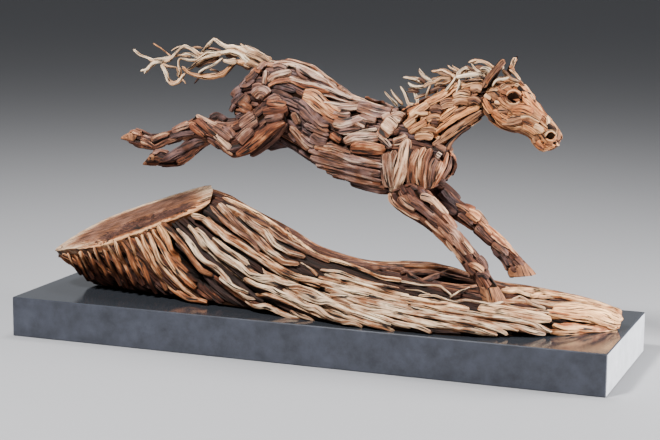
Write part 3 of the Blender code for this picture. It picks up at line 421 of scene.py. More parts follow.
# Twigs: pixels along each, distance to the left at its two ends in horse units, width in pixels at
# its two ends, tone and hue
TAIL_TWIGS = [
    (((276, 69), (266, 62), (256, 57), (246, 53), (238, 49)), (0, 0), (11, 7), 0.6, 0.5),
    (((274, 74), (264, 69), (254, 64), (245, 60)), (-0.8, -0.4), (9, 5), 0.4, 0.6),
    (((272, 63), (262, 57), (252, 51), (243, 46)), (0.6, 0.4), (8, 5), 0.75, 0.4),
    (((258, 60), (250, 55), (241, 49), (234, 47), (228, 48), (221, 44), (214, 39), (208, 45),
      (203, 51),
      (200, 56)), (0, 1), (6, 2.6), 0.95, 0.6),
    (((256, 66), (247, 60), (241, 54), (232, 51), (223, 53), (218, 53), (208, 52), (202, 56),
      (196, 60)),
     (0, -1.2), (8, 4), 0.95, 0.6),
    (((206, 54), (200, 55), (192, 49), (185, 46), (180, 49), (172, 57), (164, 59), (153, 60),
      (146, 57),
      (140, 55), (133, 49)), (-1, -1), (3.4, 2.4), 0.95, 0.6),
    (((254, 58), (247, 50), (240, 43)), (0.5, 0.5), (5, 2), 0.85, 0.6),
    (((198, 60), (189, 60), (180, 58), (178, 62), (179, 70), (180, 76)), (-1.4, -2),
      (3, 2.2), 0.95, 0.6),
    (((222, 54), (212, 56), (204, 58), (198, 62), (191, 68), (186, 71)), (-1.6, -1.4),
      (4, 3), 0.9, 0.6),
    (((219, 57), (206, 61), (196, 67)), (-0.6, -0.6), (8, 4), 0.4, 0.5),
    (((223, 58), (214, 65), (204, 69), (198, 73)), (-2.2, -2), (3.2, 2.4), 1.0, 0.6),
    (((208, 67), (203, 71), (198, 79), (194, 84)), (0.6, 1), (2.6, 1.8), 0.0, 0.3),
    (((246, 64), (236, 62), (230, 68), (224, 74), (218, 76), (209, 77), (198, 76), (191, 74),
      (186, 71),
      (182, 66)), (-0.4, -1.8), (6, 3), 0.55, 0.85),
    (((238, 61), (230, 62), (222, 60)), (-1.2, -1.6), (7, 4), 0.75, 0.6),
    (((252, 68), (244, 64), (236, 61)), (-0.2, -0.4), (8, 6), 0.5, 0.1),
    (((238, 56), (230, 56), (225, 55)), (0.2, 0.2), (7, 5), 0.0, 0.3),
    (((173, 58), (168, 61), (161, 62), (153, 62), (148, 59)), (-1.2, -1.2), (3, 2.4), 0.75, 0.6),
    (((164, 61), (153, 63), (147, 70), (140, 71)), (-1.5, -2.4), (3, 2), 0.9, 0.6),
    (((157, 62), (150, 66), (144, 74)), (-1.2, -0.6), (3.4, 2.4), 0.95, 0.5),
    (((172, 57), (161, 48), (153, 43)), (-0.8, 0.2), (1.8, 1.2), 0.6, 0.9),
    (((161, 62), (164, 68), (167, 74), (168, 79), (171, 83)), (-1.2, -1.6), (3.4, 4.6), 0.95, 0.6),
    (((168, 81), (173, 84), (179, 82), (182, 77), (186, 73)), (-1.6, -1.8), (5.5, 3), 0.8, 0.7),
    (((178, 66), (180, 72), (179, 78)), (-1.9, -1.9), (3.2, 4.5), 0.7, 0.6),
    (((162, 63), (168, 67), (178, 68)), (-1.4, -1.8), (3, 2.4), 0.6, 0.6),
    (((180, 55), (186, 53), (191, 54), (200, 59)), (-2, -1.4), (2.6, 2.4), 0.9, 0.5),
    (((172, 57), (180, 55), (192, 57)), (-0.4, -0.6), (2.4, 2.2), 0.8, 0.5),
    (((189, 50), (196, 47), (203, 48)), (1.2, 1), (2, 2), 0.5, 0.5),
    (((171, 51), (178, 47), (186, 46)), (0, -0.8), (2.6, 1.6), 0.9, 0.5),
    (((206, 48), (214, 49), (222, 51)), (1, 1), (2.4, 2.4), 0.15, 0.3),
    (((209, 69), (220, 72)), (-0.8, -0.8), (1.8, 1.6), 0.2, 0.4),
    (((182, 79), (186, 84)), (-1.8, -1.8), (1.8, 1.2), 0.5, 0.5),
]
MANE_TWIGS = [
    (((398, 107), (393, 101), (388, 96), (384, 91)), (-0.6, -1), (4, 1.6), 0.95, 0.6),
    (((415, 104), (409, 104), (407, 99), (404, 91), (400, 86)), (-1.6, -2), (4, 2), 1.0, 0.5),
    (((420, 92), (412, 91), (406, 92)), (-0.8, -1.4), (3, 2), 0.2, 0.6),
    (((436, 91), (430, 93), (421, 96), (414, 99)), (-1.8, -2), (3.6, 2.4), 0.5, 0.5),
    (((426, 86), (420, 87), (412, 86), (408, 82)), (-1, -1.6), (4, 2.4), 0.95, 0.6),
    (((418, 81), (410, 79), (405, 76)), (0, -0.6), (3, 1.6), 0.9, 0.6),
    (((424, 80), (415, 78), (409, 77)), (0.8, 1.2), (3, 2), 0.85, 0.6),
    (((433, 82), (426, 78), (421, 74), (419, 69)), (-0.6, -0.8), (4, 3), 1.0, 0.5),
    (((426, 84), (421, 80), (418, 79)), (0.4, 0.6), (4, 3), 0.1, 0.4),
    (((452, 79), (442, 78), (435, 82), (427, 84), (423, 88)), (-1.4, -2.2), (4, 2.6), 0.75, 0.7),
    (((431, 84), (429, 89), (427, 94), (426, 99)), (-2, -2.8), (3.4, 2.2), 0.6, 0.6),
    (((452, 80), (445, 84), (436, 84)), (-2, -2.2), (3.6, 2.6), 0.6, 0.7),
    (((456, 78), (447, 73), (441, 70), (436, 72), (431, 71)), (-0.2, 0.2), (4, 2.6), 0.8, 0.8),
    (((452, 77), (440, 76), (433, 80)), (0.4, 0.2), (3, 2), 0.25, 0.6),
    (((456, 76), (454, 81), (450, 86), (445, 92)), (-2, -3), (3.4, 2.8), 0.95, 0.6),
    (((459, 79), (460, 84), (458, 90), (456, 96)), (-2, -3), (3.4, 2.6), 0.95, 0.6),
    (((462, 72), (455, 68), (452, 65)), (0.4, 0.6), (2.4, 1.4), 0.75, 0.7),
    (((484, 74), (471, 75), (462, 77), (455, 78)), (-1.4, -1.8), (4, 3.4), 1.0, 0.5),
    (((472, 70), (466, 68), (460, 72), (456, 77)), (-0.4, -1), (4, 3), 0.95, 0.5),
    (((482, 77), (474, 71), (466, 65)), (-1.6, -1), (3, 2), 0.3, 0.1),
    (((486, 77), (479, 72), (474, 68), (471, 63)), (-1.2, -0.4), (2.6, 1.8), 0.85, 0.5),
    (((494, 68), (486, 62), (479, 61), (472, 64)), (0, 0.4), (3.4, 2), 0.8, 0.75),
    (((492, 73), (486, 69), (479, 70)), (-1, -0.8), (5, 3.4), 1.0, 0.5),
    (((486, 69), (479, 66), (474, 67)), (0.4, 0.4), (4, 3), 0.15, 0.5),
    (((482, 80), (470, 81), (460, 81)), (-1.8, -2.2), (3, 2), 0.1, 0.4),
    (((447, 86), (437, 88), (429, 92)), (-1.6, -2), (4, 3), 0.1, 0.5),
    (((452, 76), (443, 74), (435, 71)), (-0.8, -0.8), (3, 2), 0.35, 0.6),
    (((462, 71), (459, 76), (456, 80)), (-1.2, -1.6), (3.4, 3), 0.85, 0.6),
    (((510, 77), (504, 79), (497, 79), (494, 82), (492, 87)), (-3, -3.2), (2.6, 2), 1.0, 0.5),
    (((502, 69), (507, 75), (512, 79), (520, 82)), (-1.4, -2), (3, 3.6), 0.4, 0.1),
    (((509, 69), (515, 74), (521, 81)), (0.4, 0), (3.4, 2.6), 0.8, 0.8),
    (((501, 68), (504, 67)), (-2, -2), (4, 3.4), 0.9, 0.1),
]

# Strands of the root, traced in the same way
ROOT_STRANDS = [
    (((176, 229), (186, 239), (196, 252), (206, 262), (220, 272), (232, 284), (246, 296),
      (256, 300)), 6, 1.0, 0.35),
    (((162, 222), (172, 231), (182, 244), (191, 258), (202, 271), (214, 276)), 6, 0.55, 0.7),
    (((214, 276), (226, 285), (239, 295), (251, 302), (265, 306)), 5, 0.35, 0.9),
    (((188, 225), (198, 237), (207, 249), (221, 263), (238, 276), (257, 286), (275, 291),
      (290, 296), (307, 305),
      (320, 311), (332, 317), (345, 322), (364, 326)), 6, 0.9, 0.55),
    (((195, 228), (207, 241), (218, 253), (232, 262), (251, 274), (265, 279), (282, 286),
      (301, 293), (320, 300),
      (345, 311), (370, 320), (392, 327)), 8, 1.0, 0.45),
    (((212, 238), (226, 250), (244, 262), (262, 271), (282, 281), (302, 289), (320, 295),
      (345, 304), (370, 314),
      (395, 324), (412, 328)), 7, 0.95, 0.55),
    (((206, 217), (215, 226), (226, 235), (246, 246), (258, 255), (270, 263), (283, 270),
      (298, 277), (322, 286)),
     8, 0.85, 0.75),
    (((192, 214), (204, 220), (214, 230), (222, 236)), 6, 0.75, 0.6),
    (((212, 228), (226, 240), (244, 252), (262, 264), (280, 274), (300, 282)), 4, 0.95, 0.4),
    (((282, 290), (302, 301), (320, 305), (332, 310), (351, 317), (370, 323),
      (395, 330)), 6, 0.85, 0.65),
    (((255, 295), (270, 296), (290, 303), (307, 310), (320, 314), (328, 317)), 6, 0.8, 0.7),
    (((245, 300), (257, 305), (267, 306), (280, 312), (292, 318), (305, 320)), 6, 0.75, 0.5),
    (((290, 310), (302, 316), (315, 320)), 3.5, 0.85, 0.5),
    (((220, 276), (227, 281), (236, 288), (249, 295)), 6, 1.0, 0.4),
    (((210, 206), (222, 219), (236, 230), (250, 239), (262, 251)), 6, 0.5, 0.35),
    (((218, 204), (232, 218), (246, 230), (258, 240), (270, 252), (284, 262),
      (300, 264)), 8, 0.7, 0.15),
    (((226, 206), (240, 215), (252, 225), (264, 233), (276, 245), (290, 253),
      (306, 257)), 8, 0.75, 0.1),
    (((234, 213), (250, 221), (266, 229), (280, 239), (296, 247), (312, 255),
      (330, 263)), 7, 0.6, 0.15),
    (((222, 198), (243, 207), (260, 217), (276, 227), (290, 237), (304, 247), (318, 257),
      (340, 262), (360, 269),
      (384, 278), (402, 281)), 5, 0.95, 0.85),
    (((285, 229), (297, 234), (308, 241)), 7, 0.6, 0.3),
    (((302, 278), (320, 283), (340, 288), (362, 293), (384, 299), (410, 306)), 7, 1.0, 0.55),
    (((318, 277), (340, 282), (360, 288), (384, 296), (410, 302), (440, 308),
      (470, 313)), 6, 0.85, 0.8),
    (((324, 274), (344, 279), (366, 286), (388, 292), (410, 297)), 6, 0.9, 0.6),
    (((300, 262), (312, 270), (318, 276)), 3, 0.9, 0.3),
    (((320, 270), (340, 272), (360, 280), (380, 286), (400, 289)), 3.5, 0.75, 0.4),
    (((324, 289), (350, 297), (380, 303), (410, 310), (440, 316), (470, 320), (500, 326),
      (520, 330)), 7, 0.9, 0.5),
    (((330, 294), (360, 302), (390, 309), (420, 315), (450, 321), (480, 327),
      (508, 334)), 7, 0.95, 0.55),
    (((350, 305), (380, 313), (410, 320), (440, 326), (470, 330), (498, 334)), 7, 0.9, 0.6),
    (((380, 319), (400, 323), (420, 328), (432, 332)), 5, 0.75, 0.5),
    (((410, 304), (440, 309), (470, 314), (500, 319), (530, 325), (552, 331)), 6, 0.8, 0.5),
    (((455, 319), (480, 323), (510, 327), (535, 331), (546, 333)), 6, 0.75, 0.35),
    (((477, 309), (500, 312), (530, 317), (552, 321)), 12, 1.0, 0.8),
    (((400, 297), (430, 303), (450, 307), (470, 311)), 8, 1.0, 0.75),
    (((400, 282), (420, 286), (440, 287), (446, 292), (452, 297)), 2.5, 1.0, 0.4),
    (((405, 290), (420, 291), (432, 296), (446, 300), (460, 292), (470, 288)), 1.6, 0.95, 0.3),
    (((418, 297), (435, 296), (450, 302), (462, 303)), 2.5, 0.95, 0.4),
    (((452, 303), (466, 300), (480, 303), (492, 306), (504, 303)), 3.5, 0.85, 0.4),
    (((340, 261), (370, 268), (400, 270), (425, 266), (450, 271), (470, 277)), 7, 0.2, 0.2),
    (((400, 274), (430, 272), (460, 279), (478, 283)), 5, 0.3, 0.3),
    (((440, 285), (460, 288), (480, 287)), 5, 0.55, 0.45),
    (((505, 288), (530, 289), (545, 291), (565, 297), (590, 302), (610, 310),
      (626, 319)), 5, 1.0, 0.85),
    (((530, 297), (545, 295), (565, 300), (585, 304), (602, 309), (620, 317)), 7, 0.95, 0.95),
    (((530, 301), (555, 304), (575, 304), (590, 307)), 3, 0.85, 0.6),
    (((562, 311), (580, 310), (600, 313), (615, 318), (625, 321)), 10, 0.95, 1.0),
    (((545, 313), (562, 316), (585, 318), (605, 321), (619, 324)), 9, 0.95, 1.0),
    (((552, 326), (575, 327), (590, 328), (605, 328), (617, 326)), 8, 0.9, 1.0),
    (((512, 301), (520, 298), (530, 304), (546, 310)), 4, 0.75, 0.4),
    (((500, 305), (510, 308), (520, 310), (535, 312), (550, 314)), 6, 0.8, 0.6),
    # The left end's strands fade from pale to dark towards the foot: painted shade under the undercut
    (((128, 236), (136, 254), (144, 270), (152, 284), (158, 294)), 6, (0.9, 0.0), 0.9),
    (((135, 237), (144, 253), (151, 265), (159, 279), (168, 291)), 6, (0.9, 0.1), 0.7),
    (((141, 234), (148, 251), (153, 263), (161, 275), (174, 289), (190, 299),
      (206, 305)), 6, (1.0, 0.6), 0.9),
    (((147, 232), (154, 248), (162, 262), (172, 276), (184, 288), (198, 297),
      (209, 304)), 6, (1.0, 0.75), 0.8),
    (((153, 228), (161, 246), (168, 258), (176, 270), (186, 280), (197, 289)), 7, (1.0, 0.6), 0.95),
    (((158, 225), (168, 243), (175, 256), (180, 265)), 7, (1.0, 0.5), 1.0),
    (((121, 238), (129, 256), (137, 270), (145, 286)), 6, (0.85, 0.0), 0.85),
    (((114, 240), (122, 258), (130, 272), (137, 286)), 5.5, (0.8, 0.0), 0.8),
    (((108, 242), (116, 260), (124, 276), (129, 288)), 5.5, (0.9, 0.05), 0.8),
    (((101, 244), (109, 262), (118, 278), (122, 286)), 5, (0.75, 0.0), 0.85),
    (((94, 246), (102, 263), (110, 279)), 5, (0.9, 0.05), 0.8),
    (((87, 248), (94, 264), (102, 279)), 5, (0.7, 0.0), 0.85),
    (((80, 250), (87, 265), (95, 279)), 5, (0.85, 0.0), 0.8),
    (((74, 251), (81, 265), (88, 277)), 4.5, (0.75, 0.05), 0.85),
    (((68, 252), (75, 265), (82, 275)), 4.5, (0.85, 0.1), 0.8),
    (((62, 253), (68, 264), (76, 273)), 4.5, (0.9, 0.2), 0.8),
]

# Smooth slabs of the root's tongue
TONGUE_SLABS = [
    (((500, 292), (530, 292), (565, 297), (598, 305), (624, 316)), 9, 0.95, 0.9),
    (((552, 311), (575, 312), (600, 315), (620, 320), (628, 323)), 17, 1.0, 1.0),
    (((548, 331), (575, 331), (600, 330), (618, 327)), 7, 0.9, 1.0),
    (((500, 303), (520, 302), (545, 305), (560, 308)), 6, 0.85, 0.7),
]

# The eye and the nostril: pixel and radius in pixels
EYE = ((513.5, 98.0), 5.8)
NOSTRIL = ((550.5, 136.0), 4.2)

# Pieces curved round them: pixels beyond the hollow's radius, arc in degrees, width, tone and hue
HOLLOW_RIMS = [
    (EYE, 1.4, (190, 350), 3.2, 0.7, 0.75),
    (EYE, 1.2, (20, 170), 2.8, 0.95, 0.6),
    (NOSTRIL, 1.3, (170, 350), 2.8, 0.75, 0.6),
    (NOSTRIL, 1.3, (0, 160), 2.8, 0.7, 0.8),
]
ARC_POINTS = 12
BOWL_DEPTH = 0.003

# Stage
FLOOR_SIZE = 60
FLOOR_COLOUR = (0.27, 0.27, 0.28, 1)
WORLD_COLOUR = (0.60, 0.62, 0.66, 1)
WORLD_GLOW = {"From Max": 0.45, "To Min": 0.85, "To Max": 0.2}
LIGHT_AIM = Vector((0, 0, 0.3))
LIGHTS = (
    ("key", (-0.7, -2.2, 3.1), 0.5, 360),
    ("end", (2.2, 0.2, 0.35), 0.9, 190),
    ("top", (-0.3, 0.8, 3.0), 1.0, 90),
)

# Stone: colours of the right end, painted pale as painted light, and of the polished top, and the honed
# sides' shares of the granite's colour
END_PAINTED_LIGHT = ((0.16, 0.165, 0.18), (0.52, 0.53, 0.56))
POLISHED_TOP = ((0.008, 0.009, 0.011), (0.035, 0.038, 0.045))
HONED_SHARES = (0.62, 1.7)

# The last colour of each wood is painted shade for the gaps, the cracks and the undersides of sticks
WOOD_TONES = ("Dark", "Middle", "Light", "Crevice_shade")
GREY_TINT = (0.42, 0.36, 0.38, 1)
GREY_VEIL = (0.26, 0.20, 0.22, 1)
WARM_TINT = (1.15, 0.86, 0.62, 1)


class HorseSizes(bpy.types.PropertyGroup):
    """Sizes of the driftwood and of the root's ridges."""

    core_depth: bpy.props.FloatProperty(
        name="Core depth", description="How far the dark core lies under the outline",
        default=0.007, min=0.001, max=0.02, unit="LENGTH")
    ridge_width: bpy.props.FloatProperty(
        name="Ridge width", description="Narrowest spacing of the ridges on the root",
        default=0.0085, min=0.004, max=0.05, unit="LENGTH")
    ridge_rise: bpy.props.FloatProperty(
        name="Ridge rise", description="Height of a ridge's rounded top",
        default=0.006, min=0.001, max=0.03, unit="LENGTH")
    root_core_depth: bpy.props.FloatProperty(
        name="Root core depth", description="How deep the hollows between the ridges go",
        default=0.024, min=0.005, max=0.05, unit="LENGTH")


class HorseColours(bpy.types.PropertyGroup):
    """Colours of the wood and the stone."""

    # Near black: painted shade deep between pieces
    crevice_shade: bpy.props.FloatVectorProperty(
        name="Crevice_shade", description="Colour deep between pieces", subtype="COLOR",
        default=(0.010, 0.005, 0.003), min=0, max=1)
    body_dark: bpy.props.FloatVectorProperty(
        name="Body dark", description="Darkest driftwood", subtype="COLOR",
        default=(0.040, 0.015, 0.010), min=0, max=1)
    body_middle: bpy.props.FloatVectorProperty(
        name="Body middle", description="Usual driftwood", subtype="COLOR",
        default=(0.20, 0.075, 0.034), min=0, max=1)
    body_light: bpy.props.FloatVectorProperty(
        name="Body light", description="Palest driftwood", subtype="COLOR",
        default=(0.92, 0.68, 0.47), min=0, max=1)
    root_middle: bpy.props.FloatVectorProperty(
        name="Root middle", description="Usual colour of the root", subtype="COLOR",
        default=(0.26, 0.10, 0.038), min=0, max=1)
    root_light: bpy.props.FloatVectorProperty(
        name="Root light", description="Palest colour of the root", subtype="COLOR",
        default=(0.95, 0.74, 0.48), min=0, max=1)
    twig_light: bpy.props.FloatVectorProperty(
        name="Twig light", description="Palest colour of mane and tail", subtype="COLOR",
        default=(0.92, 0.76, 0.54), min=0, max=1)
    granite: bpy.props.FloatVectorProperty(
        name="Granite", description="Honed sides of the stone", subtype="COLOR",
        default=(0.028, 0.031, 0.042), min=0, max=1)


# Placing


def clamped(value):
    return min(max(value, 0), 1)


def mirror(place):
    return Vector((place.x, -place.y, place.z))


def distances(points):
    """How far along a line each of its points lies."""
    lengths = [0.0]
    for before, after in zip(points, points[1:]):
        lengths.append(lengths[-1] + (after - before).length)
    return lengths


def evened(values):
    """Each value averaged with its neighbours."""
    windows = [values[max(i - 1, 0):i + 2] for i in range(len(values))]
    return [sum(window) / len(window) for window in windows]


def grid_index(vert, columns, rings):
    """Column and ring of a vertex of a flat grid that is about to close into a tube."""
    column = round((vert.co.x + 1) / 2 * columns) % columns
    return column, round((vert.co.y + 1) / 2 * (rings - 1))


def camera_axes():
    back = Vector((
        math.sin(CAMERA_AZIMUTH) * math.cos(CAMERA_ELEVATION),
        -math.cos(CAMERA_AZIMUTH) * math.cos(CAMERA_ELEVATION),
        math.sin(CAMERA_ELEVATION),
    ))
    right = Vector((math.cos(CAMERA_AZIMUTH), math.sin(CAMERA_AZIMUTH), 0))
    up = back.cross(right)
    cos, sin = math.cos(CAMERA_ROLL), math.sin(CAMERA_ROLL)
    return cos * right + sin * up, cos * up - sin * right, back


def sight(pixel):
    """The direction from the camera through a pixel of the photograph."""
    right, up, back = camera_axes()
    u = (pixel[0] - IMAGE_SIZE[0] / 2) / FOCAL_PIXELS
    v = (pixel[1] - IMAGE_SIZE[1] / 2) / FOCAL_PIXELS
    return (right * u - up * v - back).normalized()


def solids(*nodes):
    form = bmesh.new()
    for node in nodes:
        form.from_mesh(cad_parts[node].data)
    return form


def surface(*nodes):
    """One ray-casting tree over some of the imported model's solids."""
    form = solids(*nodes)
    tree = BVHTree.FromBMesh(form)
    form.free()
    return tree


ROOT_SURFACE = surface("driftwood_root")
FOOT_HEIGHT = ROOT_SURFACE.ray_cast(Vector((*HOOF_SPOT, 1)), Vector((0, 0, -1)))[0].z
FOOT = Vector((HOOF_SPOT[0], 0, FOOT_HEIGHT))


def spot(x, z, left=0.0):
    """From horse units to metres."""
    return FOOT + Vector((x, left, z)) * UNIT


def press(tree, point, way, reach=0.25):
    """Where something pressed against its way lands on a surface, and the surface's normal there."""
    place, normal, _, _ = tree.ray_cast(point + way * reach, -way, 2 * reach)
    if place is None:
        place, normal, _, _ = tree.find_nearest(point)
    return place, (normal if normal.dot(way) > 0 else way)


def strike(tree, eye, way):
    """Where a line from an eye first meets a surface, or comes nearest to it, and the normal there."""
    place, normal, _, _ = tree.ray_cast(eye, way)
    if place is None:
        near = eye + way * (FOOT - eye).length
        for _ in range(4):
            place, normal, _, _ = tree.find_nearest(near)
            near = eye + way * (place - eye).dot(way)
    return place, (normal if normal.dot(way) < 0 else -way)


def seen(tree, pixel):
    return strike(tree, CAMERA_PLACE, sight(pixel))[0]


def clear_of(tree, place, hollows, margin):
    """The place itself, or the nearest one on the surface that leaves the hollows open."""
    for middle, radius in hollows:
        off = place - middle
        if off.length < radius + margin:
            place = tree.find_nearest(middle + off.normalized() * (radius + margin))[0]
    return place


def on_plane(pixel, left):
    """The point seen at a pixel that lies some horse units to the left of the horse's middle."""
    way = sight(pixel)
    return CAMERA_PLACE + way * ((left * UNIT - CAMERA_PLACE.y) / way.y)


def resample(points, count):
    """The same line with evenly spaced points, rounded at its corners."""
    lengths = distances(points)
    made = []
    for index in range(count):
        at = lengths[-1] * index / (count - 1)
        span = max(i for i in range(len(points) - 1) if lengths[i] <= at + 1e-9)
        share = (at - lengths[span]) / max(lengths[span + 1] - lengths[span], 1e-9)
        made.append(points[span].lerp(points[span + 1], min(share, 1)))
    return smoothed(made)


def smoothed(points):
    ends = [points[0], *points, points[-1]]
    middle = [(ends[i] + 2 * ends[i + 1] + ends[i + 2]) / 4 for i in range(len(points))]
    return [points[0], *middle[1:-1], points[-1]]


# Driftwood


class Wood:
    """Gathers sticks of driftwood in one mesh, with a grain map, a tone for each, and painted light and
    shade round each.
    """

    def __init__(self):
        self.form = bmesh.new()
        self.grain = self.form.loops.layers.uv.new("grain")
        self.finish_and_shade = self.form.verts.layers.float_color.new("finish_and_shade")
        self.count = 0

    def stick(
            self, spine, ups, half, rise, sink, columns, tone, hue, ridges=0.16, knots=0.1, lit_scale=1.0):
        """A closed stick: its points, the way up at each, half widths, rises above and sinks below."""
        self.count += 1
        seed = self.count * 1.618
        rings = len(spine)
        tones = tone if isinstance(tone, list) else [tone] * rings
        lit_scales = lit_scale if isinstance(lit_scale, list) else [lit_scale] * rings
        ends = [spine[0], *spine, spine[-1]]
        runs = [(ends[i + 2] - ends[i]).normalized() for i in range(rings)]
        along = distances(spine)
        girth = 4 * max(half)
        made = bmesh.ops.create_grid(
            self.form, x_segments=columns, y_segments=rings - 1, size=1, calc_uvs=True)
        for vert in made["verts"]:
            column, ring = grid_index(vert, columns, rings)
            turn = 2 * math.pi * (column / columns + SEAM_TURN)
            cos, sin = math.cos(turn), math.sin(turn)
            across = runs[ring].cross(ups[ring]).normalized()
            up = across.cross(runs[ring])
            far = along[ring]
            lobe = noise.noise(Vector((far * LOBES[0] + seed, cos * LOBES[1], sin * LOBES[1] - seed)))
            fine = noise.noise(
                Vector((far * FURROWS[0] + seed, cos * FURROWS[1], sin * FURROWS[1] + seed)))
            broad = noise.noise(
                Vector((far * KNOBS[0] + seed, cos * KNOBS[1], seed - sin * KNOBS[1])))
            swell = 1 + 0.5 * lobe + ridges * 2 * fine + knots * 2 * broad
            height = sin * (rise[ring] if sin > 0 else sink[ring])
            vert.co = spine[ring] + (across * cos * half[ring] + up * height) * swell
            # Painted light and shade: a stick's upper side is lighter and its underside darker, with less
            # light left where the stick is sunk
            lit_share = clamped(0.5 + 0.5 * sin + 1.1 * fine) * lit_scales[ring]
            vert[self.finish_and_shade] = (tones[ring], lit_share, hue, 1.0)
        for face in {face for vert in made["verts"] for face in vert.link_faces}:
            for loop in face.loops:
                place = loop[self.grain].uv
                place.x, place.y = place.y * along[-1] + seed * 3.1, place.x * girth + seed * 5.3

    def done(self, name, material, slot, replaces=()):
        """Closes seams and ends, and turns the mesh into a piece that rides on the part."""
        bmesh.ops.remove_doubles(self.form, verts=self.form.verts, dist=1e-6)
        bmesh.ops.recalc_face_normals(self.form, faces=self.form.faces)
        finish_piece(name, self.form, material, replaces, STICK_SHARP)


def mesh_from(name, form):
    mesh = bpy.data.meshes.new(name)
    form.to_mesh(mesh)
    form.free()
    return mesh


def finish_piece(name, form, material, replaces=(), angle=50):
    """Makes a piece that rides on the part, and hides the nodes that it stands for."""
    mesh = mesh_from(name, form)
    mesh.shade_smooth()
    mesh.set_sharp_from_angle(angle=math.radians(angle))
    mesh.materials.append(material)
    piece = bpy.data.objects.new(name, mesh)
    bpy.context.scene.collection.objects.link(piece)
    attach(piece, BODY)
    if replaces:
        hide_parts(*replaces)


def taper(rings, start, end, power):
    """Widths along a stick as shares: full in its middle, start and end at its tips."""
    made = []
    for index in range(rings):
        at = 2 * index / (rings - 1) - 1
        tip = start if at < 0 else end
        made.append(tip + (1 - tip) * max(1 - abs(at) ** power, 0) ** 0.6)
    made[0] = made[-1] = 0.0
    return made


def random_taper(rings, chance, tips):
    return taper(rings, chance.uniform(*tips), chance.uniform(*tips), chance.uniform(*SQUARENESS))


def lay(wood, tree, points, eye, width, thick, lift, chance, tone, hue, knots, bridge, clear):
    """Lays a stick on a surface where an eye sees a line. It bridges hollows and tapers at random."""
    rings = max(int(distances(points)[-1] / STICK_RING), 9)
    landed = [strike(tree, eye, (point - eye).normalized()) for point in resample(points, rings)]
    places = [clear_of(tree, place, clear, width * 0.5) for place, _ in landed]
    depths = [(place - eye).length for place in places]
    depths = [min(depths[max(i - bridge, 0):i + bridge + 1]) for i in range(rings)]
    for _ in range(1 + bridge):
        depths = evened(depths)
    ways = [(place - eye).normalized() for place in places]
    spine = smoothed([eye + way * depth for way, depth in zip(ways, depths)])
    # The ups lean towards the eye, so the painted light of each piece faces the camera
    ups = [normal + 0.5 * (eye - place).normalized() for place, normal in landed]
    for _ in range(2 + 6 * (bridge - 1)):
        ups = smoothed(ups)
    ups = [up.normalized() for up in ups]
    spine = [place + up * lift for place, up in zip(spine, ups)]
    shape = random_taper(rings, chance, PIECE_TIPS)
    half = [width / 2 * share for share in shape]
    rise = [thick * (0.4 + 0.6 * share) * (1 if share else 0) for share in shape]
    sink = [thick * 1.6 * (1 if share else 0) for share in shape]
    if isinstance(tone, tuple):
        tone = [tone[0] + (tone[1] - tone[0]) * ring / (rings - 1) for ring in range(rings)]
    columns = 10 if width < WIDE else 16
    wood.stick(spine, ups, half, rise, sink, columns, tone, hue, ridges=0.2, knots=knots)


def thatch(
        wood, tree, axis, rows, length, thick, seed, width_share=1.15, lift=-0.002, tones=(0.1, 0.9),
        hues=(0.2, 0.8), reach=0.14, columns=8, clear=(), overrun=0.01):
    """Rows of overlapping chips round an axis, each row broken into random lengths."""
    chance = random.Random(seed)
    middle = resample(axis, AXIS_POINTS)
    total = distances(middle)[-1]
    last = AXIS_POINTS - 1

    def at(share, turn):
        """A place on the axis, and the way out from it at a turn."""
        exact = share * last
        index = min(max(int(exact), 0), last - 1)
        place = middle[index].lerp(middle[index + 1], exact - index)
        run = (middle[min(index + 2, last)] - middle[max(index - 1, 0)]).normalized()
        side = run.cross(Vector((0, 1, 0))).normalized()
        top = -side if side.z < 0 else side
        way = top * math.cos(turn) + Vector((0, math.sin(turn), 0))
        return place, way

    for row in range(rows):
        share = -chance.uniform(0, 0.5) * length / total
        while share < 1:
            span = length / total * chance.uniform(*CHIP_SPANS)
            turn = 2 * math.pi * (row + chance.uniform(-CHIP_SHIFT, CHIP_SHIFT)) / rows
            bend = CHIP_DRIFT * chance.uniform(-1, 1) * 2 * math.pi / rows
            count = max(int(span * total / CHIP_RING), 7)
            spine, ups, widths = [], [], []
            for index in range(count):
                s = share + span * 1.12 * index / (count - 1)
                s = min(max(s, -overrun), 1 + overrun)
                place, way = at(s, turn + bend * index / count)
                landed, normal = press(tree, place, way, reach)
                radius = (landed - place).dot(way)
                landed = clear_of(tree, landed, clear, CHIP_MARGIN)
                spine.append(landed)
                ups.append((normal + way).normalized())
                widths.append(max(radius, 0.008) * 2 * math.pi / rows)
            share += span
            shape = random_taper(count, chance, CHIP_TIPS)
            spine, ups = smoothed(smoothed(spine)), [up.normalized() for up in smoothed(ups)]
            widths = [min(width, max(widths) * 0.8 + 0.002) for width in widths]
            raised = lift + chance.uniform(-CHIP_LIFT_SHIFT, CHIP_LIFT_SHIFT)
            spine = [place + up * raised for place, up in zip(spine, ups)]
            size = width_share * chance.uniform(*CHIP_SIZES)
            wood.stick(
                spine, ups,
                [w / 2 * size * s for w, s in zip(widths, shape)],
                [thick * (0.5 + 0.5 * s) * (1 if s else 0) for s in shape],
                [thick * 1.5 * (1 if s else 0) for s in shape],
                columns, chance.uniform(*tones), chance.uniform(*hues))


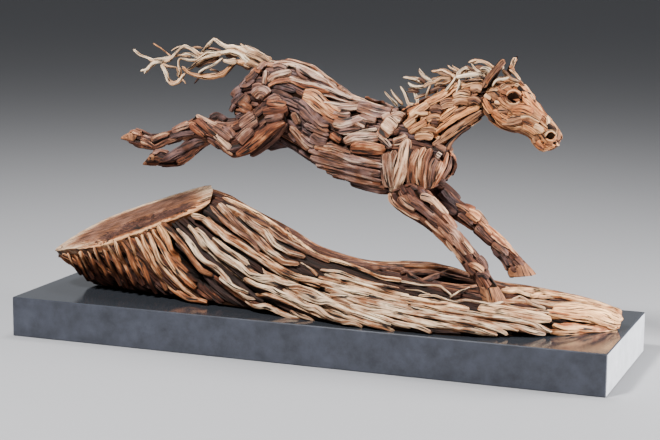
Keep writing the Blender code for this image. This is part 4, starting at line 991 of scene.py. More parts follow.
def lay_pieces(
        wood, tree, table, seed, mirrored=False, lift=0.0015, rise_share=0.3, knots=0.06, bridge=1,
        spread=1.06, clear=()):
    """Lays the pieces seen on the photograph. Mirrored ones, on the hidden side, are jittered."""
    chance = random.Random(seed)
    for pixels, wide, tone, hue in table:
        points = [seen(tree, pixel) for pixel in pixels]
        eye = CAMERA_PLACE
        if mirrored:
            along, up = PIECE_SLIP
            slip = Vector((chance.uniform(-along, along), 0, chance.uniform(-up, up)))
            points = [mirror(point) + slip for point in points]
            eye = mirror(eye)
            tone = clamped(tone + chance.uniform(-TONE_STRAY, TONE_STRAY))
            hue = clamped(hue + chance.uniform(-HUE_STRAY, HUE_STRAY))
        width = wide * PIXEL * spread
        thick = min(max(rise_share * width, THINNEST), THICKEST * rise_share)
        lay(wood, tree, points, eye, width, thick, lift, chance, tone, hue, knots, bridge, clear)


def branch(wood, pixels, lefts, widths, tone, hue, chance, mirrored=False):
    """A twig through free points, its distance to the left and its width given at its two ends."""
    steps = len(pixels) - 1
    points = []
    for index, pixel in enumerate(pixels):
        left = lefts[0] + (lefts[1] - lefts[0]) * index / steps
        left += chance.uniform(-TWIG_STRAY, TWIG_STRAY)
        points.append(on_plane(pixel, left))
    if mirrored:
        slip = Vector((chance.uniform(-TWIG_SLIP, TWIG_SLIP), 0, chance.uniform(*TWIG_SLIP_UP)))
        points = [Vector((point.x, TWIG_MIRROR - point.y, point.z)) + slip for point in points]
    length = distances(points)[-1]
    rings = max(int(length / STICK_RING), 8)
    spine = resample(points, rings)
    # A twig's painted light faces the front and a little up
    ups = [Vector((0, -1, 0.3)).normalized()] * rings
    half = []
    for ring in range(rings):
        share = ring / (rings - 1)
        radius = PIXEL / 2 * (widths[0] + (widths[1] - widths[0]) * share)
        wave = noise.noise(Vector((length * share * TWIG_WAVES, wood.count * 2.7, 0)))
        radius *= 1 + 0.35 * wave
        half.append(radius * min(1, (ring + 0.6) / 2, (rings - ring - 0.4) / 2))
    half[0] = half[-1] = 0.0
    wood.stick(spine, ups, half, half, half, 8, tone, hue, ridges=0.1, knots=0.12)


def arc(centre, radius, start, end):
    """Pixels along an arc, its angles in degrees clockwise from the right."""
    shares = [index / (ARC_POINTS - 1) for index in range(ARC_POINTS)]
    turns = [math.radians(start + (end - start) * share) for share in shares]
    return [
        (centre[0] + radius * math.cos(turn), centre[1] + radius * math.sin(turn)) for turn in turns]


def carved(name, node, material, tone, hue):
    """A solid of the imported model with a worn, grained surface."""
    form = solids(node)
    bmesh.ops.remove_doubles(form, verts=form.verts, dist=1e-5)
    bmesh.ops.subdivide_edges(form, edges=form.edges, cuts=3, use_grid_fill=True)
    form.normal_update()
    grain = form.loops.layers.uv.new("grain")
    finish_and_shade = form.verts.layers.float_color.new("finish_and_shade")
    for vert in form.verts:
        worn = noise.noise(vert.co * 90)
        vert.co += vert.normal * (0.0008 * worn - 0.0006)
        vert[finish_and_shade] = (tone, 0.75 + 0.25 * worn, hue, 1)
    for face in form.faces:
        for loop in face.loops:
            place = loop.vert.co
            loop[grain].uv = (place.z + 0.4 * place.x, place.y + 0.5 * place.x)
    finish_piece(name, form, material, (node,), 35)


def core(node, depth):
    """A copy of a solid, a little smaller and coloured in painted shade, that shows only between the
    pieces laid on it.
    """
    form = solids(node)
    bmesh.ops.remove_doubles(form, verts=form.verts, dist=1e-5)
    bmesh.ops.recalc_face_normals(form, faces=form.faces)
    form.normal_update()
    for vert in form.verts:
        vert.co -= vert.normal * depth
    finish_piece(f"{node}_core", form, MATERIALS["core"], (node,), 60)


# Root


def round_curve(keys, shares, share):
    """A smooth closed curve through keys, each at its share of the way round."""
    share %= 1.0
    index = max(i for i, start in enumerate(shares) if start <= share)
    after = shares[index + 1] if index + 1 < len(keys) else 1.0
    t = (share - shares[index]) / (after - shares[index])
    a, b, c, d = (Vector(keys[(index + step) % len(keys)]) for step in (-1, 0, 1, 2))
    bend = (2 * a - 5 * b + 4 * c - d) * t**2 + (3 * b - a - 3 * c + d) * t**3
    return 0.5 * (2 * b + (c - a) * t + bend)


def face_height(x, y):
    return FACE_HEIGHT + FACE_SLOPE[0] * (x - FACE_POINT[0]) + FACE_SLOPE[1] * (y - FACE_POINT[1])


SHARES = [line[0] for line in FLOW_LINES]


def rim_point(share):
    return round_curve([line[1] for line in FLOW_LINES], SHARES, share)


def root_place(flat, height):
    """From root units to metres."""
    return Vector((
        flat.x * ROOT_UNIT.x, flat.y * ROOT_UNIT.y, PLINTH_HIGH[2] + height * ROOT_UNIT.z))


def root_flank(along, share):
    """A point of the root's flank in metres: along 0 is the sawn face's rim and 1 the foot."""
    along = clamped(along)
    rim = rim_point(share)
    foot = round_curve([line[2] for line in FLOW_LINES], SHARES, share)
    lip, hollow, swell, strip = round_curve([line[3:] for line in FLOW_LINES], SHARES, share)
    top = face_height(rim.x, rim.y) - 1.0
    flat = rim.lerp(foot, along)
    rounding = max(along - FOOT_ROUNDING[0], 0) / (1 - FOOT_ROUNDING[0])
    height = lip * (1 - FOOT_ROUNDING[1] * rounding**2) + (top - lip) * (1 - along) ** hollow
    height += swell * math.exp(-(((along - SWELL_PLACE[0]) / SWELL_PLACE[1]) ** 2))
    fading = (1 - math.tanh((along - STRIP_END[0]) / STRIP_END[1])) / 2
    height += strip * min(along / STRIP_START, 1) * fading
    return root_place(flat, height)


def root_normal(along, share):
    """The way out of the flank, and its width in metres per whole way round."""
    step = 0.01
    run = root_flank(min(along + step, 1), share) - root_flank(max(along - step, 0), share)
    across = root_flank(along, share + step) - root_flank(along, share - step)
    return run.cross(across).normalized(), across.length / (2 * step)


def void_depth(along, share):
    """How far a place lies in one of the deep voids, from 0 to 1."""
    deepest = 0.0
    for first, last, start, end, half in VOIDS:
        if start < along < end:
            middle = first + (last - first) * (along - start) / (end - start)
            off = abs(share - middle) / half
            inside = min((along - start) / 0.03 + 0.3, (end - along) / 0.08, 1)
            deepest = max(deepest, inside * max(1 - off**2, 0) ** 0.5)
    return deepest


# Materials


def new_material(name):
    material = bpy.data.materials.new(name)
    material.use_nodes = True
    return material, material.node_tree.nodes, material.node_tree.links


def add_node(nodes, kind, inputs=(), **settings):
    """A shader node with its settings and the values of its inputs."""
    node = nodes.new(kind)
    for key, value in settings.items():
        setattr(node, key, value)
    for label, value in dict(inputs).items():
        node.inputs[label].default_value = value
    return node


def between(nodes, links, source, low, high, span=(0, 1)):
    """A colour from low to high as the source goes over its span."""
    ramp = nodes.new("ShaderNodeValToRGB")
    for element, colour, place in zip(ramp.color_ramp.elements, (low, high), span):
        element.position = place
        element.color = (*colour, 1)
    links.new(source, ramp.inputs[0])
    return ramp.outputs[0]


def driftwood_group():
    """Grain, tone and wear that every kind of driftwood shares."""
    group = bpy.data.node_groups.new("driftwood", "ShaderNodeTree")
    face = group.interface
    for label in WOOD_TONES:
        face.new_socket(name=label, in_out="INPUT", socket_type="NodeSocketColor")
    face.new_socket(name="Grey", in_out="INPUT", socket_type="NodeSocketFloat")
    face.new_socket(name="Color", in_out="OUTPUT", socket_type="NodeSocketColor")
    for label in ("Roughness", "Height"):
        face.new_socket(name=label, in_out="OUTPUT", socket_type="NodeSocketFloat")
    nodes, links = group.nodes, group.links
    given, out = nodes.new("NodeGroupInput"), nodes.new("NodeGroupOutput")

    def fill(sockets, values):
        for socket, value in zip(sockets, values):
            if isinstance(value, (int, float, tuple)):
                socket.default_value = value
            else:
                links.new(value, socket)

    def math_node(operation, one, two):
        node = add_node(nodes, "ShaderNodeMath", operation=operation)
        fill(node.inputs, (one, two))
        return node.outputs[0]

    def mix(share, one, two, blend="MIX"):
        node = add_node(nodes, "ShaderNodeMix", data_type="RGBA", blend_type=blend)
        fill((node.inputs[0], node.inputs[6], node.inputs[7]), (share, one, two))
        return node.outputs[2]

    def ramp(value, low, high):
        node = add_node(nodes, "ShaderNodeMapRange", {"From Min": low, "From Max": high})
        links.new(value, node.inputs["Value"])
        return node.outputs[0]

    def grain_noise(scale_along, scale_across, detail, rough):
        mapping = add_node(nodes, "ShaderNodeMapping", {"Scale": (scale_along, scale_across, 1)})
        links.new(uv.outputs["UV"], mapping.inputs["Vector"])
        texture = add_node(
            nodes, "ShaderNodeTexNoise", {"Scale": 1, "Detail": detail, "Roughness": rough},
            noise_dimensions="2D")
        links.new(mapping.outputs[0], texture.inputs["Vector"])
        return texture.outputs[0]

    uv = add_node(nodes, "ShaderNodeUVMap", uv_map="grain")
    finish_and_shade = add_node(nodes, "ShaderNodeAttribute", attribute_name="finish_and_shade")
    split = nodes.new("ShaderNodeSeparateColor")
    links.new(finish_and_shade.outputs["Color"], split.inputs[0])
    tone, lit_share, hue = split.outputs
    coordinates = nodes.new("ShaderNodeTexCoord")
    patches = add_node(nodes, "ShaderNodeTexNoise", {"Scale": 38, "Detail": 5})
    links.new(coordinates.outputs["Object"], patches.inputs["Vector"])
    fine = grain_noise(45, 900, 4, 0.6)
    broad = grain_noise(16, 220, 5, 0.65)
    cracks = ramp(grain_noise(20, 420, 3, 0.5), 0.36, 0.44)
    # Lightness: tone, grain and patches, with painted light added on the upper sides of sticks
    lightness = math_node("MULTIPLY", tone, 0.85)
    for value, share in (
        (ramp(broad, 0.35, 0.65), 0.4),
        (ramp(fine, 0.3, 0.7), 0.2),
        (ramp(patches.outputs[0], 0.38, 0.62), 0.2),
        (lit_share, 0.5),
    ):
        lightness = math_node("ADD", lightness, math_node("MULTIPLY", value, share))
    lightness = ramp(lightness, 0.9, 2.08)
    low = mix(ramp(lightness, 0.0, 0.45), given.outputs["Dark"], given.outputs["Middle"])
    colour = mix(ramp(lightness, 0.4, 1.0), low, given.outputs["Light"])
    grey = mix(0.5, colour, GREY_TINT, "MULTIPLY")
    grey = mix(0.3, grey, GREY_VEIL)
    weathered = math_node("MULTIPLY", ramp(hue, 0.62, 0.4), given.outputs["Grey"])
    weathered = math_node("MULTIPLY", weathered, ramp(patches.outputs[0], 0.4, 0.6))
    colour = mix(weathered, colour, grey)
    warm = mix(1.0, colour, WARM_TINT, "MULTIPLY")
    colour = mix(ramp(hue, 0.6, 1.0), colour, warm)
    # Dark streaks along the grain: cracks filled with painted shade
    colour = mix(math_node("SUBTRACT", 1, cracks), colour, given.outputs["Crevice_shade"])
    # Undersides of sticks and sunk ridges go to painted shade
    colour = mix(ramp(lit_share, 0.55, 0.2), colour, given.outputs["Crevice_shade"])
    links.new(colour, out.inputs["Color"])
    shine = math_node("MULTIPLY", lightness, 0.25)
    links.new(math_node("SUBTRACT", 0.78, shine), out.inputs["Roughness"])
    height = math_node("ADD", math_node("MULTIPLY", fine, 0.3), math_node("MULTIPLY", broad, 0.5))
    height = math_node("ADD", height, math_node("MULTIPLY", cracks, 0.5))
    links.new(height, out.inputs["Height"])
    return group


def driftwood(name, group, tones, grey, bump):
    material, nodes, links = new_material(name)
    shader = nodes["Principled BSDF"]
    shader.inputs["Specular IOR Level"].default_value = 0.25
    wood = nodes.new("ShaderNodeGroup")
    wood.node_tree = group
    for label, tone in zip(WOOD_TONES, tones):
        wood.inputs[label].default_value = (*tone, 1)
    wood.inputs["Grey"].default_value = grey
    relief = add_node(nodes, "ShaderNodeBump", {"Distance": bump, "Strength": 0.9})
    links.new(wood.outputs["Height"], relief.inputs["Height"])
    links.new(relief.outputs[0], shader.inputs["Normal"])
    links.new(wood.outputs["Color"], shader.inputs["Base Color"])
    links.new(wood.outputs["Roughness"], shader.inputs["Roughness"])
    return material


def gap_shade_material(name, colour):
    """Painted shade for the bottom of the gaps, near black and mottled so that it isn't one flat colour.
    """
    material, nodes, links = new_material(name)
    shader = nodes["Principled BSDF"]
    shader.inputs["Roughness"].default_value = 0.9
    shader.inputs["Specular IOR Level"].default_value = 0.0
    coordinates = nodes.new("ShaderNodeTexCoord")
    mottle = add_node(nodes, "ShaderNodeTexNoise", {"Scale": 90})
    links.new(coordinates.outputs["Object"], mottle.inputs["Vector"])
    low, high = ([share * c for c in colour] for share in (0.5, 1.8))
    shade = between(nodes, links, mottle.outputs[0], low, high)
    links.new(shade, shader.inputs["Base Color"])
    return material


MATERIALS = {}


def make_materials():
    """Each wood's name, its dark, middle and light colours, its greyness and its relief in metres."""
    colours = bpy.context.scene.horse_colours
    group = driftwood_group()
    woods = {
        "body": (
            "body_driftwood", colours.body_dark, colours.body_middle, colours.body_light, 0.75, 0.0022),
        "head": (
            "head_driftwood", (0.06, 0.02, 0.01), (0.34, 0.14, 0.055), (0.92, 0.60, 0.32),
            0.25, 0.0016),
        "legs": (
            "leg_driftwood", (0.035, 0.012, 0.008), (0.17, 0.062, 0.03), (0.80, 0.50, 0.30),
            0.5, 0.0022),
        "hooves": (
            "hoof_wood", (0.06, 0.03, 0.02), (0.26, 0.12, 0.06), (0.62, 0.40, 0.22), 0.2, 0.0012),
        "twigs": (
            "pale_twigs", (0.08, 0.03, 0.015), (0.42, 0.23, 0.11), colours.twig_light, 0.3, 0.001),
        "root": (
            "root_wood", (0.045, 0.014, 0.007), colours.root_middle, colours.root_light, 0.35, 0.003),
    }
    for key, (name, *tones, grey, bump) in woods.items():
        MATERIALS[key] = driftwood(name, group, (*tones, colours.crevice_shade), grey, bump)
    # The cores' colour is painted shade for the gaps
    MATERIALS["core"] = gap_shade_material("painted_gap_shade", colours.crevice_shade)


# Operators


class HORSE_OT_stage(bpy.types.Operator):
    """Adds the camera, the floor, the lights and the pale surroundings"""

    bl_idname = "horse.stage"
    bl_label = "Stage"

    def execute(self, context):
        scene = context.scene
        camera = bpy.data.objects.new("camera", bpy.data.cameras.new("camera"))
        scene.collection.objects.link(camera)
        right, up, back = camera_axes()
        turned = Matrix((right, up, back)).transposed().to_4x4()
        camera.matrix_world = Matrix.Translation(CAMERA_PLACE) @ turned
        camera.data.sensor_width = SENSOR_WIDTH
        camera.data.lens = SENSOR_WIDTH * FOCAL_PIXELS / IMAGE_SIZE[0]
        scene.camera = camera
        form = bmesh.new()
        bmesh.ops.create_grid(form, x_segments=1, y_segments=1, size=FLOOR_SIZE)
        mesh = mesh_from("floor", form)
        floor = bpy.data.objects.new("floor", mesh)
        scene.collection.objects.link(floor)
        material, nodes, _ = new_material("pale_floor")
        nodes["Principled BSDF"].inputs["Base Color"].default_value = FLOOR_COLOUR
        nodes["Principled BSDF"].inputs["Roughness"].default_value = 0.9
        mesh.materials.append(material)
        self.add_world(scene)
        for name, place, size, power in LIGHTS:
            light = bpy.data.lights.new(name, "AREA")
            light.size = size
            light.energy = power
            lamp = bpy.data.objects.new(name, light)
            lamp.location = place
            aim = LIGHT_AIM - Vector(place)
            lamp.rotation_euler = aim.to_track_quat("-Z", "Y").to_euler()
            scene.collection.objects.link(lamp)
        return {"FINISHED"}

    def add_world(self, scene):
        """A pale studio that darkens with height."""
        scene.world = bpy.data.worlds.new("studio")
        scene.world.use_nodes = True
        nodes, links = scene.world.node_tree.nodes, scene.world.node_tree.links
        nodes["Background"].inputs[0].default_value = WORLD_COLOUR
        heading = nodes.new("ShaderNodeTexCoord")
        height = nodes.new("ShaderNodeSeparateXYZ")
        glow = add_node(nodes, "ShaderNodeMapRange", WORLD_GLOW)
        links.new(heading.outputs["Generated"], height.inputs[0])
        links.new(height.outputs["Z"], glow.inputs["Value"])
        links.new(glow.outputs[0], nodes["Background"].inputs[1])


class HORSE_OT_plinth(bpy.types.Operator):
    """Gives the stone its honed sides, polished top, a right end painted pale as painted light, and fine
    mottle
    """

    bl_idname = "horse.plinth"
    bl_label = "Granite plinth"

    def execute(self, context):
        colour = tuple(context.scene.horse_colours.granite)
        material, nodes, links = new_material("granite_slab")
        shader = nodes["Principled BSDF"]
        coordinates = nodes.new("ShaderNodeTexCoord")
        shape = nodes.new("ShaderNodeNewGeometry")
        split = nodes.new("ShaderNodeSeparateXYZ")
        links.new(shape.outputs["Normal"], split.inputs[0])
        top = add_node(nodes, "ShaderNodeMapRange", {"From Min": 0.5, "From Max": 0.9})
        # The right end, facing the end lamp, is painted paler: painted light
        end = add_node(nodes, "ShaderNodeMapRange", {"From Min": 0.9, "From Max": 0.98})
        links.new(split.outputs["Z"], top.inputs["Value"])
        links.new(split.outputs["X"], end.inputs["Value"])
        clouds = add_node(nodes, "ShaderNodeTexNoise", {"Scale": 26, "Detail": 9, "Roughness": 0.72})
        specks = add_node(nodes, "ShaderNodeTexNoise", {"Scale": 420})
        for texture in (clouds, specks):
            links.new(coordinates.outputs["Object"], texture.inputs["Vector"])
        low, high = ([share * c for c in colour] for share in HONED_SHARES)
        shade = between(nodes, links, clouds.outputs[0], low, high, (0.3, 0.72))
        for share, other in (
            (end, between(nodes, links, clouds.outputs[0], *END_PAINTED_LIGHT)),
            (top, between(nodes, links, specks.outputs[0], *POLISHED_TOP)),
        ):
            blend = add_node(nodes, "ShaderNodeMix", data_type="RGBA")
            for socket, value in ((0, share.outputs[0]), (6, shade), (7, other)):
                links.new(value, blend.inputs[socket])
            shade = blend.outputs[2]
        links.new(shade, shader.inputs["Base Color"])
        gloss = add_node(nodes, "ShaderNodeMapRange", {"To Min": 0.42, "To Max": 0.09})
        links.new(top.outputs[0], gloss.inputs["Value"])
        links.new(gloss.outputs[0], shader.inputs["Roughness"])
        relief = add_node(nodes, "ShaderNodeBump", {"Distance": 0.0004, "Strength": 0.25})
        links.new(specks.outputs[0], relief.inputs["Height"])
        links.new(relief.outputs[0], shader.inputs["Normal"])
        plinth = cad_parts["plinth"]
        plinth.data.materials.clear()
        plinth.data.materials.append(material)
        return {"FINISHED"}


class HORSE_OT_root(bpy.types.Operator):
    """Builds the weathered root: a core in painted shade, ridges that branch as they spread, and a sawn
    face
    """

    bl_idname = "horse.root"
    bl_label = "Weathered root"

    def execute(self, context):
        sizes = context.scene.horse_sizes
        self.make_core(sizes)
        self.make_face()
        self.make_ridges(sizes)
        return {"FINISHED"}

    def make_core(self, sizes):
        """The core under the ridges, in painted shade, closed over the sawn face and under the foot."""
        form = bmesh.new()
        columns, rings = CORE_GRID
        bmesh.ops.create_grid(form, x_segments=columns, y_segments=rings - 1, size=1)
        floor = PLINTH_HIGH[2] + CORE_CLEARANCE
        middle = root_place(Vector(FACE_MIDDLE), 0)
        for vert in form.verts:
            column, ring = grid_index(vert, columns, rings)
            share = column / columns
            along = clamped((ring - 1) / (rings - 3))
            normal, _ = root_normal(along, share)
            uneven = noise.noise(Vector((share * 30, along * 4, 0)))
            sunk = sizes.root_core_depth * (0.75 + 0.5 * uneven)
            sunk += CORE_VOID * void_depth(along, share)
            point = root_flank(along, share)
            point -= normal * min(sunk, (point.z - floor) * 0.8 + 0.004)
            if ring <= 2:
                point.z -= CORE_LIP_DROP
            point.z = max(point.z, floor)
            if ring == 0:
                point = root_place(Vector(FACE_MIDDLE), face_height(*FACE_MIDDLE) - CORE_UNDER_FACE)
            if ring == rings - 1:
                point = Vector((middle.x, middle.y, floor))
            vert.co = point
        bmesh.ops.remove_doubles(form, verts=form.verts, dist=1e-6)
        bmesh.ops.recalc_face_normals(form, faces=form.faces)
        finish_piece("root_core", form, MATERIALS["core"], ("driftwood_root",))

    def make_face(self):
        """The sawn face: a flat middle, a torn step down towards the front and a worn edge."""
        wood = Wood()
        form = wood.form
        columns, rings = FACE_GRID
        flat_rings = rings - 1 - len(FACE_EDGE)
        bmesh.ops.create_grid(
            form, x_segments=columns, y_segments=rings - 1, size=1, calc_uvs=True)
        middle = Vector(FACE_MIDDLE)
        for vert in form.verts:
            column, ring = grid_index(vert, columns, rings)
            share = column / columns
            notch = noise.noise(Vector((share * 50, 3.3, 0)))
            notch += 0.8 * noise.noise(Vector((share * 190, 9.1, 0)))
            ragged = 0.05 * noise.noise(Vector((share * 34, 5.1, 0)))
            ragged += 0.03 * noise.noise(Vector((share * 120, 2.2, 0)))
            under = ring - flat_rings
            across = min(ring / flat_rings, 1)
            spread = 1.01 - 0.055 * max(notch, 0)
            drop, narrow = FACE_EDGE[under - 1] if under > 0 else (0.0, across * spread)
            flat = middle.lerp(rim_point(share), narrow)
            (front_end, end_fade), (front_start, start_fade) = FACE_FRONT
            near_front = clamped((front_end - share) / end_fade)
            near_front *= clamped((share - front_start) / start_fade)
            step = clamped((across - FACE_STEP[0] - ragged) / FACE_STEP[1]) * near_front
            wall = clamped((across - FACE_WALL[0] - 1.6 * ragged) / FACE_WALL[1]) * near_front
            torn = step * (1 - wall)
            rough = noise.noise(Vector((flat.x * 0.8, flat.y * 2.0, 1.7))) * (0.06 + 0.5 * torn)
            rough += 0.25 * torn * noise.noise(Vector((flat.x * 2.6, flat.y * 5.0, 8.1)))
            height = face_height(flat.x, flat.y) + rough - drop - FACE_STEP[2] * step - FACE_WALL[2] * wall
            vert.co = root_place(flat, height)
            shade = near_front * (1 - wall)
            far = 0.3 + 0.6 * clamped((across - 0.7) / 0.2)
            near = 1.0 - shade * (0.75 + 0.5 * rough) - 0.1 * wall + 0.25 * wall * notch
            tone = near_front * near + (1 - near_front) * far
            # Painted shade: the rings of the worn edge and the torn step, most of all its slope, are
            # darker
            lit_share = (0.9 if under <= 0 else 0.4) - 0.35 * torn - 0.8 * torn * step * (1 - step)
            hue = 0.3 + 0.25 * shade + 0.65 * wall
            vert[wood.finish_and_shade] = (clamped(tone), clamped(lit_share), hue, 1)
        for face in form.faces:
            for loop in face.loops:
                loop[wood.grain].uv = (loop.vert.co.x, loop.vert.co.y)
        wood.done("root_sawn_face", MATERIALS["root"], "root_wood")

    def make_ridges(self, sizes):
        """Ridges that split in two wherever they grow too wide, and the strands laid on them."""
        chance = random.Random(11)
        near, far = Wood(), Wood()
        total = 2**RIDGE_LEVELS
        for row in range(total):
            level = RIDGE_LEVELS
            while level and row % 2 ** (RIDGE_LEVELS - level + 1) == 0:
                level -= 1
            share = (row + chance.uniform(-0.2, 0.2)) / total
            start = 0.0
            while start < 0.9:
                _, spread = root_normal(start, share)
                if spread / 2**level > sizes.ridge_width or level <= COARSEST_LEVEL:
                    break
                start += 0.02
            if start >= 0.9:
                continue
            start = max(start + chance.uniform(-0.06, 0.06), 0) if start else 0.0
            end = 1.0 if chance.random() < 0.75 else chance.uniform(0.75, 0.98)
            self.ridge(near if share < FRONT[1] else far, sizes, chance, share, start, end)
        tree = surface("driftwood_root")
        lay_pieces(
            near, tree, ROOT_STRANDS, 41, lift=0.003, rise_share=0.42, knots=0.02, bridge=4,
            spread=0.93)
        lay_pieces(near, tree, TONGUE_SLABS, 43, lift=0.004, rise_share=0.22, knots=0.0, bridge=6)
        near.done("root_ridges_near", MATERIALS["root"], "root_wood")
        far.done("root_ridges_far", MATERIALS["root"], "root_wood")

    def ridge(self, wood, sizes, chance, share, start, end):
        length = (root_flank(start, share) - root_flank(end, share)).length
        rings = max(int(length / RIDGE_RING), 10)
        wander = chance.uniform(0, 50)
        traced = share < TRACED_END
        zone = "front" if FRONT[0] < share < FRONT[1] else "end" if traced else "back"
        sunk, lit_scale = RIDGE_ZONES[zone]
        raised = chance.uniform(-0.004, 0.002) - sunk
        spine, ups, widths, shrink, depths = [], [], [], [], []
        for ring in range(rings):
            along = start + (end - start) * ring / (rings - 1)
            bent = share + 0.005 * noise.noise(Vector((along * 5, wander, 0)))
            normal, spread = root_normal(min(along, 0.99), bent)
            spacing = spread / 2**RIDGE_LEVELS
            for coarser in range(RIDGE_LEVELS - 1, COARSEST_LEVEL - 1, -1):
                if spread / 2**(coarser + 1) <= sizes.ridge_width:
                    spacing = spread / 2**coarser
            swell = 0.86 + 0.24 * noise.noise(Vector((along * 9, wander, 5)))
            widths.append(min(spacing, RIDGE_WIDEST) * swell)
            depth = void_depth(along, bent)
            depths.append(depth)
            fade = min(1.0, (ring + 0.5) / (rings * 0.08) if start else 1.0)
            tip = min(1.0, (rings - 1 - ring + 0.6) / (rings * 0.10))
            point = root_flank(along, bent)
            roll = 0.002 * noise.noise(Vector((along * 7, wander, 9)))
            point += normal * (raised + roll - depth * RIDGE_VOID)
            point.z = max(point.z - (0.010 if ring == 0 else 0), PLINTH_HIGH[2] + 0.006)
            point.y = max(point.y, PLINTH_LOW[1] + 0.010)
            spine.append(point)
            ups.append(normal)
            shrink.append(fade * tip * (1 - 0.6 * depth))
        for _ in range(4):
            widths = evened(widths)
        half = [max(width / 2 * size, 0.0015) for width, size in zip(widths, shrink)]
        rise = [sizes.ridge_rise * (0.4 + 0.6 * size) for size in shrink]
        sink = [RIDGE_SINK * (0.4 + 0.6 * size) for size in shrink]
        half[0] = half[-1] = rise[0] = rise[-1] = sink[0] = sink[-1] = 0.0
        # At the left end, ridges darken towards the foot: painted shade under the undercut
        if share < FRONT[0]:
            tone = [0.55 - 0.5 * ring / rings for ring in range(rings)]
        elif traced:
            # Ridges under the traced strands are dark: painted shade between the strands
            tone = chance.uniform(0.0, 0.35)
        else:
            tone = chance.uniform(0.4, 0.9)
        # Ridges sunk in the voids lose their painted light and go to painted shade
        lit_scale = [lit_scale * (1 - min(2 * depth, 1)) for depth in depths]
        hue = chance.uniform(0.4, 0.95)
        wood.stick(
            spine, ups, half, rise, sink, 10, tone, hue, ridges=0.2, knots=0.04, lit_scale=lit_scale)


# How far the dark cores of the slim forms lie under their solids
HEAD_CORE_DEPTH = 0.004
EAR_CORE_DEPTH = 0.0015
LEG_CORE_DEPTH = 0.005

# Lines through the middle of each form, in horse units along and up
BARREL_AXIS = [
    (-60.5, 39.5), (-56, 40.5), (-50, 39.6), (-44, 37.2), (-38, 33.6), (-32, 31.2), (-26, 30),
    (-20, 30.4), (-13, 29.6)]
NECK_AXIS = [(-20, 33), (-16.5, 36.5), (-13, 39), (-9.5, 41), (-6, 42.4), (-3, 43.2)]
HEAD_AXIS = [(-3.5, 45), (-1.8, 43.4), (1.5, 41), (4.4, 39), (7.5, 37.2), (10, 34.9), (11.6, 33.4)]
LEG_AXES = {
    "right_forearm": [(-20.8, 23.4), (-18.5, 20.2), (-14, 16.6), (-10, 13), (-9, 12)],
    "right_fore_cannon": [(-11.2, 14), (-7, 9.8), (-4, 6.8), (-2, 3.6)],
    "left_forearm": [(-17, 23), (-13, 19), (-10.5, 17.2), (-7, 15.6)],
    "left_fore_cannon": [(-8.4, 16.9), (-5, 13.6), (-1.4, 10.4), (0.6, 8.4), (2.2, 6.8)],
    "right_thigh": [(-48, 40.4), (-52, 36.4), (-56, 33.4), (-60.8, 31.4)],
    "right_gaskin": [(-60.4, 31.3), (-63.4, 31.8), (-66, 32.8), (-69.2, 34)],
    "right_hind_cannon": [
        (-68, 34), (-71, 33.2), (-74, 31.8), (-77, 30.7), (-80, 29.8), (-82.4, 30.2), (-83.8, 30.6)],
    "left_thigh": [(-48, 39.2), (-51.5, 34.8), (-55, 33), (-59.4, 31.8)],
    "left_gaskin": [(-58.4, 31.9), (-62, 31.8), (-65, 31.8), (-69.2, 33.8)],
    "left_hind_cannon": [
        (-67.8, 34), (-71.2, 31.1), (-74.4, 28.4), (-77, 26.3), (-79, 25), (-81.2, 24.8), (-83.6, 25)],
}
LEG_OFFSETS = {"fore": 4.0, "hind": 4.5}
HOOVES = ("right_fore_hoof", "left_fore_hoof", "right_hind_hoof", "left_hind_hoof")


def leg_offset(node):
    offset = LEG_OFFSETS["fore" if "fore" in node else "hind"]
    return -offset if node.startswith("right") else offset


def laid_nodes(carriers):
    """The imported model's laid pieces that lie on some of its solids."""
    names = {
        "barrel": (
            "spine_strip", "croup_strip", "loin_slab", "rib_plate", "belly_strip_upper",
            "belly_strip_middle", "belly_strip_lower", "withers_plate", "withers_knot", "rump_knob",
            "hip_arch", "flank_twist", "buttock_piece", "shoulder_blade", "arm_strip",
            "shoulder_muscle"),
        "neck": ("throat_strip",),
        "thigh": ("hip_plate", "thigh_plate", "gaskin_bar"),
    }
    sides = ("", "right_", "left_")
    wanted = [f"{side}{name}" for carrier in carriers for name in names[carrier] for side in sides]
    return tuple(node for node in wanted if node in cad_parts)


class HORSE_OT_body(bpy.types.Operator):
    """Builds up the barrel and the neck from overlapping pieces on a core in painted shade"""

    bl_idname = "horse.body"
    bl_label = "Barrel and neck"

    def execute(self, context):
        sizes = context.scene.horse_sizes
        for node in ("barrel", "neck"):
            core(node, sizes.core_depth)
        whole = surface("barrel", "neck", "right_thigh")
        left = surface("barrel", "neck", "left_thigh")
        wood = Wood()
        barrel = [spot(x, z) for x, z in BARREL_AXIS]
        # The chips under the laid pieces are dark: painted shade in the gaps between the pieces
        thatch(
            wood, surface("barrel"), barrel, rows=30, length=0.065, thick=0.006, seed=3,
            lift=-0.006, columns=9, reach=0.2, tones=(0, 0.4))
        lay_pieces(wood, whole, BARREL_PIECES, 21, spread=0.98)
        lay_pieces(wood, left, BARREL_PIECES, 22, mirrored=True, spread=0.98)
        wood.done("barrel_driftwood", MATERIALS["body"], "umber_driftwood", laid_nodes(("barrel",)))
        wood = Wood()
        neck = [spot(x, z) for x, z in NECK_AXIS]
        thatch(
            wood, surface("neck"), neck, rows=17, length=0.034, thick=0.006, seed=5,
            lift=-0.005, columns=9, hues=(0.5, 1.0))
        lay_pieces(wood, surface("neck", "barrel"), NECK_PIECES, 23)
        lay_pieces(wood, surface("neck", "barrel"), NECK_PIECES, 24, mirrored=True)
        wood.done("neck_driftwood", MATERIALS["head"], "tan_driftwood", laid_nodes(("neck",)))
        return {"FINISHED"}


